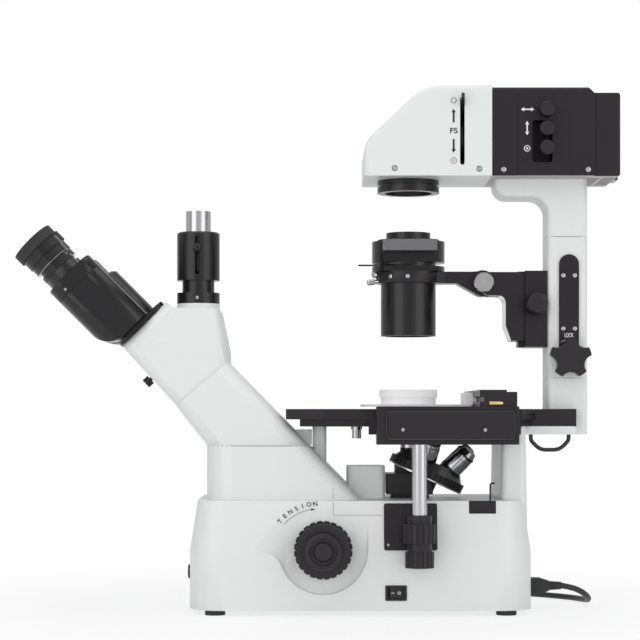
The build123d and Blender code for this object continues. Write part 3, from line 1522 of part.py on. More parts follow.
# black lamp housing with its stepped rear cap, vents below and the window of the centring screws
with BuildPart() as lamp_housing:
    with BuildSketch(Plane.XZ):
        with BuildLine():
            Polyline(
                (lamp_x1, lamp_z0),
                (lamp_x2, lamp_z0),
                (lamp_x2, black_top - black_cut),
                (lamp_x2 - black_cut, black_top),
                (lamp_x1, black_top),
                close=True,
            )
        make_face()
    extrude(amount=black_hw, both=True)
    fillet(lamp_housing.edges().filter_by(Axis.X).group_by(Axis.Z)[-1], 3)
    with BuildSketch(Plane.YZ.offset(lamp_x2)):
        with Locations((0, lamp_z0)):
            Rectangle(2 * cap_hw, cap_top - lamp_z0, align=(Align.CENTER, Align.MIN))
    extrude(amount=lamp_x3 - lamp_x2)
    fillet(lamp_housing.faces().sort_by(Axis.X)[-1].edges(), 3)
    with BuildSketch(Plane.XZ.offset(black_hw)):
        with Locations(((panel_x0 + panel_x1) / 2, (lamp_z0 + panel_top) / 2)):
            Rectangle(panel_x1 - panel_x0, panel_top - lamp_z0)
    extrude(amount=panel_out)
    # inside, left open to the front half, with the screws' block kept
    with BuildSketch(Plane.XY.offset(lamp_z0 + lamp_wall)):
        with BuildLine():
            Polyline(
                (lamp_x1, -black_hw + lamp_wall),
                (panel_x0, -black_hw + lamp_wall),
                (panel_x0, window_in),
                (panel_x1, window_in),
                (panel_x1, -black_hw + lamp_wall),
                (lamp_x2 - lamp_wall, -black_hw + lamp_wall),
                (lamp_x2 - lamp_wall, -cap_hw + lamp_wall),
                (lamp_x3 - lamp_wall, -cap_hw + lamp_wall),
                (lamp_x3 - lamp_wall, cap_hw - lamp_wall),
                (lamp_x2 - lamp_wall, cap_hw - lamp_wall),
                (lamp_x2 - lamp_wall, black_hw - lamp_wall),
                (lamp_x1, black_hw - lamp_wall),
                close=True,
            )
        make_face()
    extrude(amount=cap_top - lamp_z0 - 2 * lamp_wall - black_cut, mode=Mode.SUBTRACT)
    with BuildSketch(Plane.XZ.offset(black_hw + panel_out)):
        with Locations((window_x0 + window_w / 2, (window_z0 + window_z1) / 2)):
            RectangleRounded(window_w, window_z1 - window_z0, 3)
    extrude(amount=-window_d - panel_out, mode=Mode.SUBTRACT)
    with BuildSketch(Plane.XZ.offset(black_hw + panel_out)):
        with Locations(*[(lamp_knob_x, z) for z in lamp_knob_z]):
            Circle(knob_pin + fit_gap)
    extrude(amount=-window_d - panel_out - knob_seat, mode=Mode.SUBTRACT)
    with BuildSketch(Plane.XY.offset(lamp_z0)):
        with Locations(((lamp_x2 + lamp_x3) / 2 - lamp_wall, 0)):
            with GridLocations(vent_l + vent_w, vent_gap, 2, 11):
                SlotOverall(vent_l, vent_w)
    extrude(amount=lamp_wall, mode=Mode.SUBTRACT)
    # finger lip of the rear cap
    with BuildSketch(Plane.XY.offset(lamp_z0)):
        with Locations((lamp_x3 - lamp_wall / 2, 0)):
            Rectangle(lamp_wall, 2 * latch_hw, align=(Align.MIN, Align.CENTER))
    extrude(amount=latch_h)
lamp_housing.part.label = "lamp_housing"
export_step(lamp_housing.part, "parts/lamp_housing.step")

with BuildPart() as lamp_knob_1:
    with BuildSketch(Plane.XZ.offset(black_hw + panel_out + run_gap)):
        with Locations((lamp_knob_x, lamp_knob_z[0])):
            Circle(lamp_knob_r)
    extrude(amount=lamp_knob_l)
    fillet(lamp_knob_1.faces().sort_by(Axis.Y)[0].edges(), 1)
    with BuildSketch(Plane.XZ.offset(black_hw + panel_out + run_gap)):
        with Locations((lamp_knob_x, lamp_knob_z[0])):
            Circle(knob_pin)
    extrude(amount=-window_d - panel_out - run_gap - knob_seat / 2)
lamp_knob_1.part.label = "lamp_knob_1"
export_step(lamp_knob_1.part, "parts/lamp_knob_1.step")

with BuildPart() as lamp_knob_2:
    add(lamp_knob_1.part.moved(Location((0, 0, lamp_knob_z[1] - lamp_knob_z[0]))))
lamp_knob_2.part.label = "lamp_knob_2"
export_step(lamp_knob_2.part, "parts/lamp_knob_2.step")

with BuildPart() as lamp_knob_3:
    add(lamp_knob_1.part.moved(Location((0, 0, lamp_knob_z[2] - lamp_knob_z[0]))))
lamp_knob_3.part.label = "lamp_knob_3"
export_step(lamp_knob_3.part, "parts/lamp_knob_3.step")

# mains switch: a bezel set in the base's side, and its rocker on an upright pin
with BuildPart() as switch_frame:
    with BuildSketch(Plane.XZ.offset(base_hw)):
        with Locations((switch_x, switch_z)):
            RectangleRounded(switch_w, switch_h, 1)
    extrude(amount=switch_lip)
    with BuildSketch(Plane.XZ.offset(base_hw)):
        with Locations((switch_x, switch_z)):
            Rectangle(switch_w - 2 * switch_lip - 2 * fit_gap, switch_h - 2 * switch_lip - 2 * fit_gap)
    extrude(amount=-switch_d + run_gap)
    with BuildSketch(Plane.XZ.offset(base_hw + switch_lip)):
        with Locations((switch_x, switch_z)):
            Rectangle(rocker_w + 6 * run_gap, rocker_h + 2 * run_gap)
    extrude(amount=-switch_d + run_gap, mode=Mode.SUBTRACT)
    with BuildSketch(Plane.XY.offset(switch_z)):
        with Locations((switch_x, -base_hw + rocker_in)):
            Circle(rocker_pin + fit_gap)
    extrude(amount=switch_h / 2 - switch_lip - 0.4, both=True, mode=Mode.SUBTRACT)
switch_frame.part.label = "switch_frame"
export_step(switch_frame.part, "parts/switch_frame.step")

rock = Plane(
    origin=(switch_x, -base_hw + rocker_in, switch_z),
    x_dir=(cos(radians(rocker_tilt)), sin(radians(rocker_tilt)), 0),
    z_dir=(0, 0, 1),
)
with BuildPart() as switch_rocker:
    with BuildSketch(rock):
        with BuildLine():
            Polyline(
                (-rocker_w / 2, -rocker_out),
                (0, -rocker_out + 1),
                (rocker_w / 2, -rocker_out),
                (rocker_w / 2, 0),
                (rocker_pin, rocker_pin + 1),
                (-rocker_pin, rocker_pin + 1),
                (-rocker_w / 2, 0),
                close=True,
            )
        make_face()
    extrude(amount=rocker_h / 2, both=True)
    with BuildSketch(rock):
        Circle(rocker_pin)
    extrude(amount=switch_h / 2 - switch_lip - 0.5, both=True)
switch_rocker.part.label = "switch_rocker"
export_step(switch_rocker.part, "parts/switch_rocker.step")

with BuildPart() as dimmer_knob:
    with BuildSketch(Plane.YZ.offset(base_x0 - run_gap)):
        with Locations((-dimmer_y, dimmer_z)):
            Circle(dimmer_r)
    extrude(amount=-dimmer_t)
    chamfer(dimmer_knob.faces().sort_by(Axis.X)[0].edges(), 0.6)
    with BuildSketch(Plane.YZ.offset(base_x0 - run_gap)):
        with Locations((-dimmer_y, dimmer_z)):
            Circle(dimmer_pin)
    extrude(amount=2 * wall - 1)
dimmer_knob.part.label = "dimmer_knob"
export_step(dimmer_knob.part, "parts/dimmer_knob.step")

# mains connector in the inlet, with its ribbed strain relief
with BuildPart() as power_connector:
    with BuildSketch(Plane.YZ.offset(base_x1 - inlet_d)):
        with Locations((0, inlet_z)):
            RectangleRounded(inlet_w, inlet_h, 2)
    extrude(amount=plug_x1 - base_x1 + inlet_d)
    with BuildSketch(Plane.YZ.offset(plug_x1)):
        with Locations((0, inlet_z)):
            RectangleRounded(inlet_w, inlet_h, 2)
    with BuildSketch(Plane.YZ.offset(grip_x1)):
        with Locations((0, inlet_z)):
            RectangleRounded(4 * cord_r, 3.4 * cord_r, 2)
    loft()
    with BuildSketch(Plane.XZ):
        with BuildLine():
            Polyline(
                (grip_x1, inlet_z),
                (grip_x1, inlet_z + 1.6 * cord_r),
                (relief_x1, inlet_z + 1.25 * cord_r),
                (relief_x1, inlet_z),
                close=True,
            )
        make_face()
        with Locations(*[(grip_x1 + 2.2 + 3.4 * i, inlet_z + 1.7 * cord_r) for i in range(3)]):
            Rectangle(1.4, 1.4 * cord_r / 3, mode=Mode.SUBTRACT)
    revolve(axis=Axis((0, 0, inlet_z), (1, 0, 0)))
power_connector.part.label = "power_connector"
export_step(power_connector.part, "parts/power_connector.step")

# lead from the connector to the coil behind the base, and from there to the mains plug
lead_pts = [
    (relief_x1, 0, inlet_z),
    (relief_x1 + 12, 1, inlet_z - 2),
    (relief_x1 + 23, 7, inlet_z - 7.5),
    (relief_x1 + 30, 18, inlet_z - 13.5),
    (relief_x1 + 32, 31, cord_r + 1.6),
    (relief_x1 + 30, 46, cord_r + 0.3),
    (relief_x1 + 22, 68, cord_r + 0.1),
    (relief_x1 + 4, 90, cord_r + 0.2),
    (relief_x1 - 20, 113, cord_r + 0.1),
    (relief_x1 - 47, 137, cord_r + 0.2),
    (coil_x + 58, coil_y + 14, cord_r + 0.1),
    (coil_x + 24, coil_y + 35.7, cord_r + 0.2),
]
tail_pts = [
    (coil_x - 7.5, coil_y + 42.3, 3 * cord_r + 0.4),
    (coil_x - 32, coil_y + 38.5, cord_r + 2.6),
    (coil_x - 54, coil_y + 31, cord_r + 1.6),
    (coil_x - plug_in_x, coil_y + plug_in_y, mains_h / 2),
]


def bend_radii(points):
    """Radius of each corner, from the shorter of its two runs and the turn."""
    vectors = [Vector(*p) for p in points]
    runs = [b - a for a, b in zip(vectors, vectors[1:])]
    return [
        0.45 * min(a.length, b.length) / tan(radians(a.get_angle(b)) / 2) for a, b in zip(runs, runs[1:])
    ]


print("lead radii", [round(r, 1) for r in bend_radii(lead_pts)])
print("tail radii", [round(r, 1) for r in bend_radii(tail_pts)])
with BuildPart() as power_cord:
    with BuildLine() as lead:
        FilletPolyline(*lead_pts, radius=bend_radii(lead_pts))
    with BuildSketch(Plane(lead.wires()[0] @ 0, z_dir=lead.wires()[0] % 0)):
        Circle(cord_r)
    sweep(path=lead.wires()[0])
    with BuildLine() as tail:
        FilletPolyline(*tail_pts, radius=bend_radii(tail_pts))
    with BuildSketch(Plane(tail.wires()[0] @ 0, z_dir=tail.wires()[0] % 0)):
        Circle(cord_r)
    sweep(path=tail.wires()[0])
print("lead and tail", lead.wires()[0].length, tail.wires()[0].length, power_cord.part.volume)
power_cord.part.label = "power_cord"
export_step(power_cord.part, "parts/power_cord.step")

with BuildPart() as cord_coil:
    with BuildSketch(Plane.XY):
        with Locations((coil_x, coil_y)):
            Circle(coil_r)
            Circle(coil_in, mode=Mode.SUBTRACT)
    extrude(amount=coil_h)
    fillet(cord_coil.edges().filter_by(GeomType.CIRCLE), cord_r)
cord_coil.part.label = "cord_coil"
export_step(cord_coil.part, "parts/cord_coil.step")

# mains plug lying on its side, blades forward
heading = Vector(*tail_pts[-1]) - Vector(*tail_pts[-2])
heading = Vector(heading.X, heading.Y, 0).normalized()
plug_axis = Plane(origin=tail_pts[-1], x_dir=(-heading.Y, heading.X, 0), z_dir=heading)
with BuildPart() as mains_plug:
    with BuildSketch(plug_axis):
        Circle(2 * cord_r)
    with BuildSketch(plug_axis.offset(mains_l / 2)):
        RectangleRounded(mains_w, mains_h, 3)
    loft()
    with BuildSketch(plug_axis.offset(mains_l / 2)):
        RectangleRounded(mains_w, mains_h, 3)
    extrude(amount=mains_l / 2)
    with BuildSketch(plug_axis.offset(mains_l)):
        with GridLocations(blade_pitch, 0, 2, 1):
            Rectangle(blade_t, blade_w)
    extrude(amount=blade_l)
mains_plug.part.label = "mains_plug"
export_step(mains_plug.part, "parts/mains_plug.step")

# lamp lead: a short loop under the stage's rear fork
with BuildPart() as lamp_cable:
    with BuildLine() as loop:
        loop_pts = [
            (loop_x0, -loop_y, pillar_z0),
            (loop_x0, -loop_y, pillar_z0 - loop_h * 0.4),
            (loop_x0 + loop_h * 0.6, -loop_y, pillar_z0 - loop_h),
            (loop_x1 - loop_h * 0.6, -loop_y, pillar_z0 - loop_h),
            (loop_x1, -loop_y, pillar_z0 - loop_h * 0.4),
            (loop_x1, -loop_y, pillar_z0),
        ]
        FilletPolyline(*loop_pts, radius=bend_radii(loop_pts))
    with BuildSketch(Plane.XY.offset(pillar_z0)):
        with Locations((loop_x0, -loop_y)):
            Circle(loop_r)
    sweep(path=loop.wires()[0])
print("loop radii", [round(r, 1) for r in bend_radii(loop_pts)])
lamp_cable.part.label = "lamp_cable"
export_step(lamp_cable.part, "parts/lamp_cable.step")
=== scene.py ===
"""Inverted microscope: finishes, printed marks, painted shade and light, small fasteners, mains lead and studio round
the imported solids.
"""

import math

import bmesh
import bpy
from mathutils import Matrix, Vector
from mathutils.bvhtree import BVHTree


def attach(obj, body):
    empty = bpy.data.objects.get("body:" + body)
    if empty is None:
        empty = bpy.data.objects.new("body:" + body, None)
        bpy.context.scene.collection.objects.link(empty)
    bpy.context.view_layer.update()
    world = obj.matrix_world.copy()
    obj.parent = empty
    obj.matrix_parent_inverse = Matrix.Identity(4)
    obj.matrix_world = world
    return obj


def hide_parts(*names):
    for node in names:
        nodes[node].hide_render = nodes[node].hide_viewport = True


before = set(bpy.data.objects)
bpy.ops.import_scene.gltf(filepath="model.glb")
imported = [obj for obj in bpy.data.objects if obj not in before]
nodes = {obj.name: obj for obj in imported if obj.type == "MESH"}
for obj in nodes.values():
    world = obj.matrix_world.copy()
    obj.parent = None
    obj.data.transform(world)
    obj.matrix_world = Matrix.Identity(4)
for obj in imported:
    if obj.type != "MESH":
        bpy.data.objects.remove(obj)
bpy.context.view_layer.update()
scene = bpy.context.scene
MM = 0.001
NEAR = Vector((0, -1, 0))
UP = Vector((0, 0, 1))
RIGHT = Vector((1, 0, 0))


# Finishes

def grain_group():
    """Speckle of a sprayed or moulded skin, with slow patches of handling over it."""
    group = bpy.data.node_groups.new("moulded_grain", "ShaderNodeTree")
    face = group.interface
    face.new_socket("Fineness", in_out="INPUT", socket_type="NodeSocketFloat").default_value = 900
    face.new_socket("Rough Low", in_out="INPUT", socket_type="NodeSocketFloat").default_value = 0.3
    face.new_socket("Rough High", in_out="INPUT", socket_type="NodeSocketFloat").default_value = 0.4
    face.new_socket("Tone Low", in_out="INPUT", socket_type="NodeSocketColor").default_value = (0.8, 0.8, 0.8, 1)
    face.new_socket("Tone High", in_out="INPUT", socket_type="NodeSocketColor").default_value = (1, 1, 1, 1)
    face.new_socket("Height", in_out="OUTPUT", socket_type="NodeSocketFloat")
    face.new_socket("Roughness", in_out="OUTPUT", socket_type="NodeSocketFloat")
    face.new_socket("Colour", in_out="OUTPUT", socket_type="NodeSocketColor")
    add, link = group.nodes.new, group.links.new
    given = add("NodeGroupInput")
    given.location = (-900, 0)
    out = add("NodeGroupOutput")
    out.location = (500, 0)
    place = add("ShaderNodeTexCoord")
    place.location = (-900, -300)
    fine = add("ShaderNodeTexNoise")
    fine.location = (-600, 200)
    fine.inputs["Detail"].default_value = 4
    slow = add("ShaderNodeTexNoise")
    slow.location = (-600, -200)
    slow.inputs["Scale"].default_value = 14
    slow.inputs["Detail"].default_value = 5
    link(place.outputs["Object"], fine.inputs["Vector"])
    link(place.outputs["Object"], slow.inputs["Vector"])
    link(given.outputs["Fineness"], fine.inputs["Scale"])
    rough = add("ShaderNodeMapRange")
    rough.location = (-200, 0)
    rough.inputs["From Min"].default_value = 0.3
    rough.inputs["From Max"].default_value = 0.7
    link(slow.outputs["Fac"], rough.inputs["Value"])
    link(given.outputs["Rough Low"], rough.inputs["To Min"])
    link(given.outputs["Rough High"], rough.inputs["To Max"])
    blend = add("ShaderNodeMath")
    blend.location = (-200, -300)
    blend.operation = "MULTIPLY_ADD"
    blend.inputs[1].default_value = 0.5
    link(fine.outputs["Fac"], blend.inputs[0])
    half = add("ShaderNodeMath")
    half.location = (-400, -400)
    half.operation = "MULTIPLY"
    half.inputs[1].default_value = 0.5
    link(slow.outputs["Fac"], half.inputs[0])
    link(half.outputs[0], blend.inputs[2])
    tone = add("ShaderNodeMix")
    tone.location = (100, -300)
    tone.data_type = "RGBA"
    link(blend.outputs[0], tone.inputs["Factor"])
    link(given.outputs["Tone Low"], tone.inputs["A"])
    link(given.outputs["Tone High"], tone.inputs["B"])
    link(fine.outputs["Fac"], out.inputs["Height"])
    link(rough.outputs["Result"], out.inputs["Roughness"])
    link(tone.outputs["Result"], out.inputs["Colour"])
    return group


def turning_group():
    """Rings that a lathe tool leaves round an axis along the object's chosen direction."""
    group = bpy.data.node_groups.new("lathe_rings", "ShaderNodeTree")
    face = group.interface
    face.new_socket("Pitch", in_out="INPUT", socket_type="NodeSocketFloat").default_value = 2500
    face.new_socket("Height", in_out="OUTPUT", socket_type="NodeSocketFloat")
    face.new_socket("Roughness", in_out="OUTPUT", socket_type="NodeSocketFloat")
    add, link = group.nodes.new, group.links.new
    given = add("NodeGroupInput")
    given.location = (-700, 0)
    out = add("NodeGroupOutput")
    out.location = (300, 0)
    place = add("ShaderNodeTexCoord")
    place.location = (-700, -300)
    rings = add("ShaderNodeTexNoise")
    rings.location = (-300, 100)
    rings.inputs["Detail"].default_value = 2
    stretch = add("ShaderNodeMapping")
    stretch.location = (-500, -300)
    stretch.inputs["Scale"].default_value = (0.04, 0.04, 1)
    link(place.outputs["Object"], stretch.inputs["Vector"])
    link(stretch.outputs["Vector"], rings.inputs["Vector"])
    link(given.outputs["Pitch"], rings.inputs["Scale"])
    rough = add("ShaderNodeMapRange")
    rough.location = (0, -100)
    rough.inputs["To Min"].default_value = 0.12
    rough.inputs["To Max"].default_value = 0.24
    link(rings.outputs["Fac"], rough.inputs["Value"])
    link(rings.outputs["Fac"], out.inputs["Height"])
    link(rough.outputs["Result"], out.inputs["Roughness"])
    return group


GRAIN = grain_group()
RINGS = turning_group()


def finish(name, low, high, rough=(0.3, 0.4), fineness=900, bump=0.1, depth=0.0002, **fixed):
    """A painted, moulded or anodised finish, also used for colours of painted shade and light: two close tones, a
    roughness span and the skin's relief.
    """
    mat = bpy.data.materials.new(name)
    mat.use_nodes = True
    tree = mat.node_tree
    shader = tree.nodes["Principled BSDF"]
    skin = tree.nodes.new("ShaderNodeGroup")
    skin.node_tree = GRAIN
    skin.location = (-500, 100)
    skin.inputs["Fineness"].default_value = fineness
    skin.inputs["Rough Low"].default_value = rough[0]
    skin.inputs["Rough High"].default_value = rough[1]
    skin.inputs["Tone Low"].default_value = (*low, 1)
    skin.inputs["Tone High"].default_value = (*high, 1)
    relief = tree.nodes.new("ShaderNodeBump")
    relief.location = (-250, -200)
    relief.inputs["Strength"].default_value = bump
    relief.inputs["Distance"].default_value = depth
    tree.links.new(skin.outputs["Colour"], shader.inputs["Base Color"])
    tree.links.new(skin.outputs["Roughness"], shader.inputs["Roughness"])
    tree.links.new(skin.outputs["Height"], relief.inputs["Height"])
    tree.links.new(relief.outputs["Normal"], shader.inputs["Normal"])
    for socket, value in fixed.items():
        shader.inputs[socket.replace("_", " ")].default_value = value
    mat.diffuse_color = (*high, 1)
    return mat


def plated(name, colour, bump=0.04, pitch=2500):
    """Bright turned metal with fine tool rings."""
    mat = bpy.data.materials.new(name)
    mat.use_nodes = True
    tree = mat.node_tree
    shader = tree.nodes["Principled BSDF"]
    shader.inputs["Base Color"].default_value = (*colour, 1)
    shader.inputs["Metallic"].default_value = 1
    turned = tree.nodes.new("ShaderNodeGroup")
    turned.node_tree = RINGS
    turned.location = (-500, 100)
    turned.inputs["Pitch"].default_value = pitch
    relief = tree.nodes.new("ShaderNodeBump")
    relief.location = (-250, -200)
    relief.inputs["Strength"].default_value = bump
    relief.inputs["Distance"].default_value = 0.0001
    tree.links.new(turned.outputs["Roughness"], shader.inputs["Roughness"])
    tree.links.new(turned.outputs["Height"], relief.inputs["Height"])
    tree.links.new(relief.outputs["Normal"], shader.inputs["Normal"])
    mat.diffuse_color = (*colour, 1)
    return mat


enamel = finish(
    "off_white_enamel", (0.71, 0.735, 0.72), (0.735, 0.755, 0.74), (0.36, 0.46), 700, 0.05, Coat_Weight=0.12
)
stage_black = finish(
    "stage_black", (0.011, 0.0088, 0.0107), (0.018, 0.0148, 0.0175), (0.3, 0.4), 1500, 0.12,
    Specular_IOR_Level=0.35,
)
tube_black = finish(
    "tube_black", (0.0065, 0.0052, 0.0064), (0.011, 0.009, 0.0108), (0.2, 0.28), 1800, 0.05,
    Specular_IOR_Level=0.45,
)
lamp_black = finish(
    "lamp_house_black", (0.011, 0.0088, 0.0112), (0.019, 0.0158, 0.019), (0.42, 0.52), 1100, 0.3,
    Specular_IOR_Level=0.3,
)
knob_black = finish(
    "knob_plastic", (0.013, 0.0108, 0.0125), (0.021, 0.0178, 0.0205), (0.34, 0.44), 2200, 0.15,
    Specular_IOR_Level=0.35,
)
rubber = finish("soft_rubber", (0.014, 0.014, 0.014), (0.024, 0.024, 0.024), (0.62, 0.72), 2500, 0.25)
lead_skin = finish("lead_skin", (0.012, 0.012, 0.013), (0.02, 0.02, 0.021), (0.4, 0.5), 1500, 0.1)
slider_grey = finish(
    "slider_grey", (0.16, 0.16, 0.165), (0.2, 0.2, 0.205), (0.34, 0.42), 2000, 0.1, Metallic=0.6
)
holder_grey = finish("holder_enamel", (0.78, 0.755, 0.76), (0.83, 0.805, 0.81), (0.34, 0.44), 2000, 0.1)
dish_clear = finish(
    "dish_frosted", (0.94, 0.94, 0.94), (0.97, 0.97, 0.97), (0.3, 0.42), 600, 0.03,
    Transmission_Weight=0.05, IOR=1.4,
)
dome_grey = finish(
    "dome_satin_metal", (0.2, 0.195, 0.195), (0.27, 0.262, 0.262), (0.28, 0.38), 1500, 0.08, Metallic=0.9
)
# Pinkish grey for the downward faces of black parts: painted light thrown up from the bench.
underside_bounce_grey = finish("underside_painted_bounce_light", (0.42, 0.385, 0.385), (0.48, 0.445, 0.445), (0.4, 0.5), 1500, 0.1)
lens_coat = finish(
    "coated_lens", (0.03, 0.035, 0.05), (0.04, 0.045, 0.06), (0.03, 0.06), 300, 0.0, Coat_Weight=1.0
)
# Black for print, and also for painted shade in the rings round screw heads and the nosepiece grip.
ink_and_shade_black = finish("ink_and_painted_shade_black", (0.012, 0.012, 0.013), (0.02, 0.02, 0.021), (0.5, 0.6), 3000, 0.05)
mark_white = finish("printed_white", (0.74, 0.74, 0.74), (0.8, 0.8, 0.8), (0.5, 0.6), 3000, 0.05)
panel_shadow = finish(
    "panel_shadow", (0.002, 0.002, 0.002), (0.003, 0.003, 0.003), (0.8, 0.9), 1200, 0.1, Specular_IOR_Level=0.0
)
seam_grey = finish("seam_shadow", (0.19, 0.2, 0.19), (0.24, 0.25, 0.24), (0.7, 0.8), 1200, 0.1)
chrome = plated("bright_chrome", (0.57, 0.57, 0.58))
barrel_chrome = plated("barrel_chrome", (0.52, 0.52, 0.535), 0.05, 1800)
brass = plated("pin_brass", (0.78, 0.58, 0.3))
steel = plated("screw_steel", (0.6, 0.6, 0.61))

FINISHES = {
    enamel: ("base_housing", "arm_housing", "head_housing", "pillar", "lamp_cover"),
    stage_black: (
        "stage_plate", "stage_insert", "stage_rail", "stage_carriage", "condenser_block", "condenser_bracket",
        "condenser_arm", "nosepiece_carrier", "nosepiece_turret", "lock_plate", "focus_cover", "filter_slide",
    ),
    tube_black: (
        "photo_port", "bino_plate", "wing_right", "wing_left", "eyepiece_right", "eyepiece_left", "condenser",
        "field_lens", "iris_lever", "field_lever",
    ),
    lamp_black: ("lamp_housing",),
    knob_black: (
        "coarse_knobs", "fine_knobs", "tension_ring", "lamp_knob_1", "lamp_knob_2", "lamp_knob_3", "lock_knob",
        "condenser_knob", "switch_frame", "switch_rocker", "dimmer_knob", "stage_x_knob", "stage_y_knob",
        "dioptre_ring", "head_clamp_screw",
    ),
    rubber: ("rubber_feet", "eyecup_right", "eyecup_left", "power_connector", "mains_plug"),
    lead_skin: ("lamp_cable",),
    slider_grey: ("phase_slider",),
    holder_grey: ("specimen_holder",),
    dish_clear: ("specimen_dish",),
    chrome: ("photo_tube", "drive_post", "stage_screw", "clamp_screw"),
    barrel_chrome: ("objectives",),
}
for material, names in FINISHES.items():
    for name in names:
        nodes[name].data.materials.clear()
        nodes[name].data.materials.append(material)


def repaint(name, material, wanted):
    """Gives the faces of a solid whose middle and outward normal pass the test a second finish."""
    mesh = nodes[name].data
    mesh.materials.append(material)
    for face in mesh.polygons:
        if wanted(face.center / MM, face.normal):
            face.material_index = len(mesh.materials) - 1


def soften(name, width):
    """Small rounded edges that catch the light."""
    weld = nodes[name].modifiers.new("join_faces", "WELD")
    weld.merge_threshold = 0.00002
    edge = nodes[name].modifiers.new("eased_edges", "BEVEL")
    edge.width = width * MM
    edge.segments = 2
    edge.limit_method = "ANGLE"
    edge.angle_limit = math.radians(40)
    edge.harden_normals = True


# Shapes

def keep(piece, body, slot, *materials):
    """Links a finished piece, gives it its finishes and fixes it to a body."""
    if piece.name not in scene.collection.objects:
        scene.collection.objects.link(piece)
    piece.data.materials.clear()
    for material in materials:
        piece.data.materials.append(material)
    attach(piece, body)
    return piece


def axes_from(normal, up=UP):
    """Rotation whose Z is the normal and whose Y is as near to up as it can be."""
    z = Vector(normal).normalized()
    x = Vector(up).cross(z)
    if x.length < 1e-4:
        x = RIGHT.copy()
    x.normalize()
    return Matrix((x, z.cross(x), z)).transposed().to_4x4()


def turned(name, at, axis, profile, body, slot, material, steps=40, closed=True):
    """A lathe piece: (radius, height) pairs in millimetres, turned about an axis through a point."""
    bm = bmesh.new()
    rows = []
    for radius, height in profile:
        if radius < 1e-6:
            rows.append([bm.verts.new((0, 0, height * MM))])
            continue
        ring = []
        for k in range(steps):
            a = 2 * math.pi * k / steps
            ring.append(bm.verts.new((radius * MM * math.cos(a), radius * MM * math.sin(a), height * MM)))
        rows.append(ring)
    for low, high in zip(rows, rows[1:]):
        for k in range(steps):
            a, b = low[k % len(low)], low[(k + 1) % len(low)]
            c, d = high[(k + 1) % len(high)], high[k % len(high)]
            corners = list(dict.fromkeys((a, b, c, d)))
            if len(corners) > 2:
                bm.faces.new(corners)
    if closed:
        for ring in (rows[0], rows[-1]):
            if len(ring) > 1:
                bm.faces.new(ring)
    bmesh.ops.recalc_face_normals(bm, faces=bm.faces)
    mesh = bpy.data.meshes.new(name)
    bm.to_mesh(mesh)
    bm.free()
    mesh.transform(Matrix.Translation(Vector(at) * MM) @ axes_from(axis))
    piece = bpy.data.objects.new(name, mesh)
    for face in mesh.polygons:
        face.use_smooth = True
    mesh.set_sharp_from_angle(angle=math.radians(35))
    return keep(piece, body, slot, material)


def screw(name, at, axis, radius, body, slot="bright_metal", material=None):
    """A cap screw's round head with a round socket, ringed by a dark disc of painted shade where the head sinks into
    the surface.
    """
    r = radius
    # The dark disc round the head is painted shade.
    shade_ring = [(1.4 * r, -0.3), (1.4 * r, 0.12), (0.9 * r, 0.15)]
    turned(name + "_shade_ring", at, axis, shade_ring, body, slot, ink_and_shade_black, 24)
    turned(
        name, at, axis,
        [(0.98 * r, -0.3), (0.98 * r, 0.4), (0.8 * r, 0.6), (0.5 * r, 0.6), (0.44 * r, 0.2), (0, 0.2)],
        body, slot, material or steel, 6 * 4,
    )


surfaces = {}


def touch(name, x, z, side=-1):
    """Where a line along Y from the near side first meets a solid, with the outward normal there."""
    if name not in surfaces:
        surfaces[name] = BVHTree.FromObject(nodes[name], bpy.context.evaluated_depsgraph_get())
    spot, normal, _, _ = surfaces[name].ray_cast(Vector((x * MM, side * 0.4, z * MM)), Vector((0, -side, 0)))
    return spot / MM, normal


def laid_on_face(name, shape, at, normal, body, slot, material, up=UP, proud=0.06, narrow=1):
    """Thin ink, painted shadow or painted highlight: a flat mesh made from a curve or words, laid on a face."""
    mesh = bpy.data.meshes.new_from_object(shape.evaluated_get(bpy.context.evaluated_depsgraph_get()))
    bpy.data.objects.remove(shape)
    spot = Vector(at) + Vector(normal).normalized() * proud
    mesh.transform(Matrix.Translation(spot * MM) @ axes_from(normal, up) @ Matrix.Diagonal((narrow, 1, 1, 1)))
    mesh.name = name
    return keep(bpy.data.objects.new(name, mesh), body, slot, material)


def words(text, size):
    """Flat lettering, centred, of a height in millimetres."""
    curve = bpy.data.curves.new("lettering", "FONT")
    curve.body = text
    curve.size = size * MM
    curve.align_x = "CENTER"
    curve.align_y = "CENTER"
    curve.extrude = 0.00004
    curve.offset = 0.024 * size * MM
    shape = bpy.data.objects.new("lettering", curve)
    scene.collection.objects.link(shape)
    return shape


def outline(*loops):
    """A flat filled shape from closed loops of points in millimetres; inner loops are holes."""
    curve = bpy.data.curves.new("outline", "CURVE")
    curve.dimensions = "2D"
    curve.fill_mode = "BOTH"
    curve.extrude = 0.00004
    for loop in loops:
        spline = curve.splines.new("POLY")
        spline.points.add(len(loop) - 1)
        for point, (x, y) in zip(spline.points, loop):
            point.co = (x * MM, y * MM, 0, 1)
        spline.use_cyclic_u = True
    shape = bpy.data.objects.new("outline", curve)
    scene.collection.objects.link(shape)
    return shape


def circle(radius, steps=40, x=0, y=0):
    return [
        (x + radius * math.cos(2 * math.pi * k / steps), y + radius * math.sin(2 * math.pi * k / steps))
        for k in range(steps)
    ]


def arrow(length, stem, head, double=False):
    """An upright arrow about the origin, with one head or two."""
    top, low = length / 2, -length / 2
    barb = head * 1.6
    right = [(stem, low + (barb if double else 0)), (stem, top - barb), (head, top - barb), (0, top)]
    if double:
        right = [(0, low), (head, low + barb)] + right
    return right + [(-x, y) for x, y in reversed(right) if x]
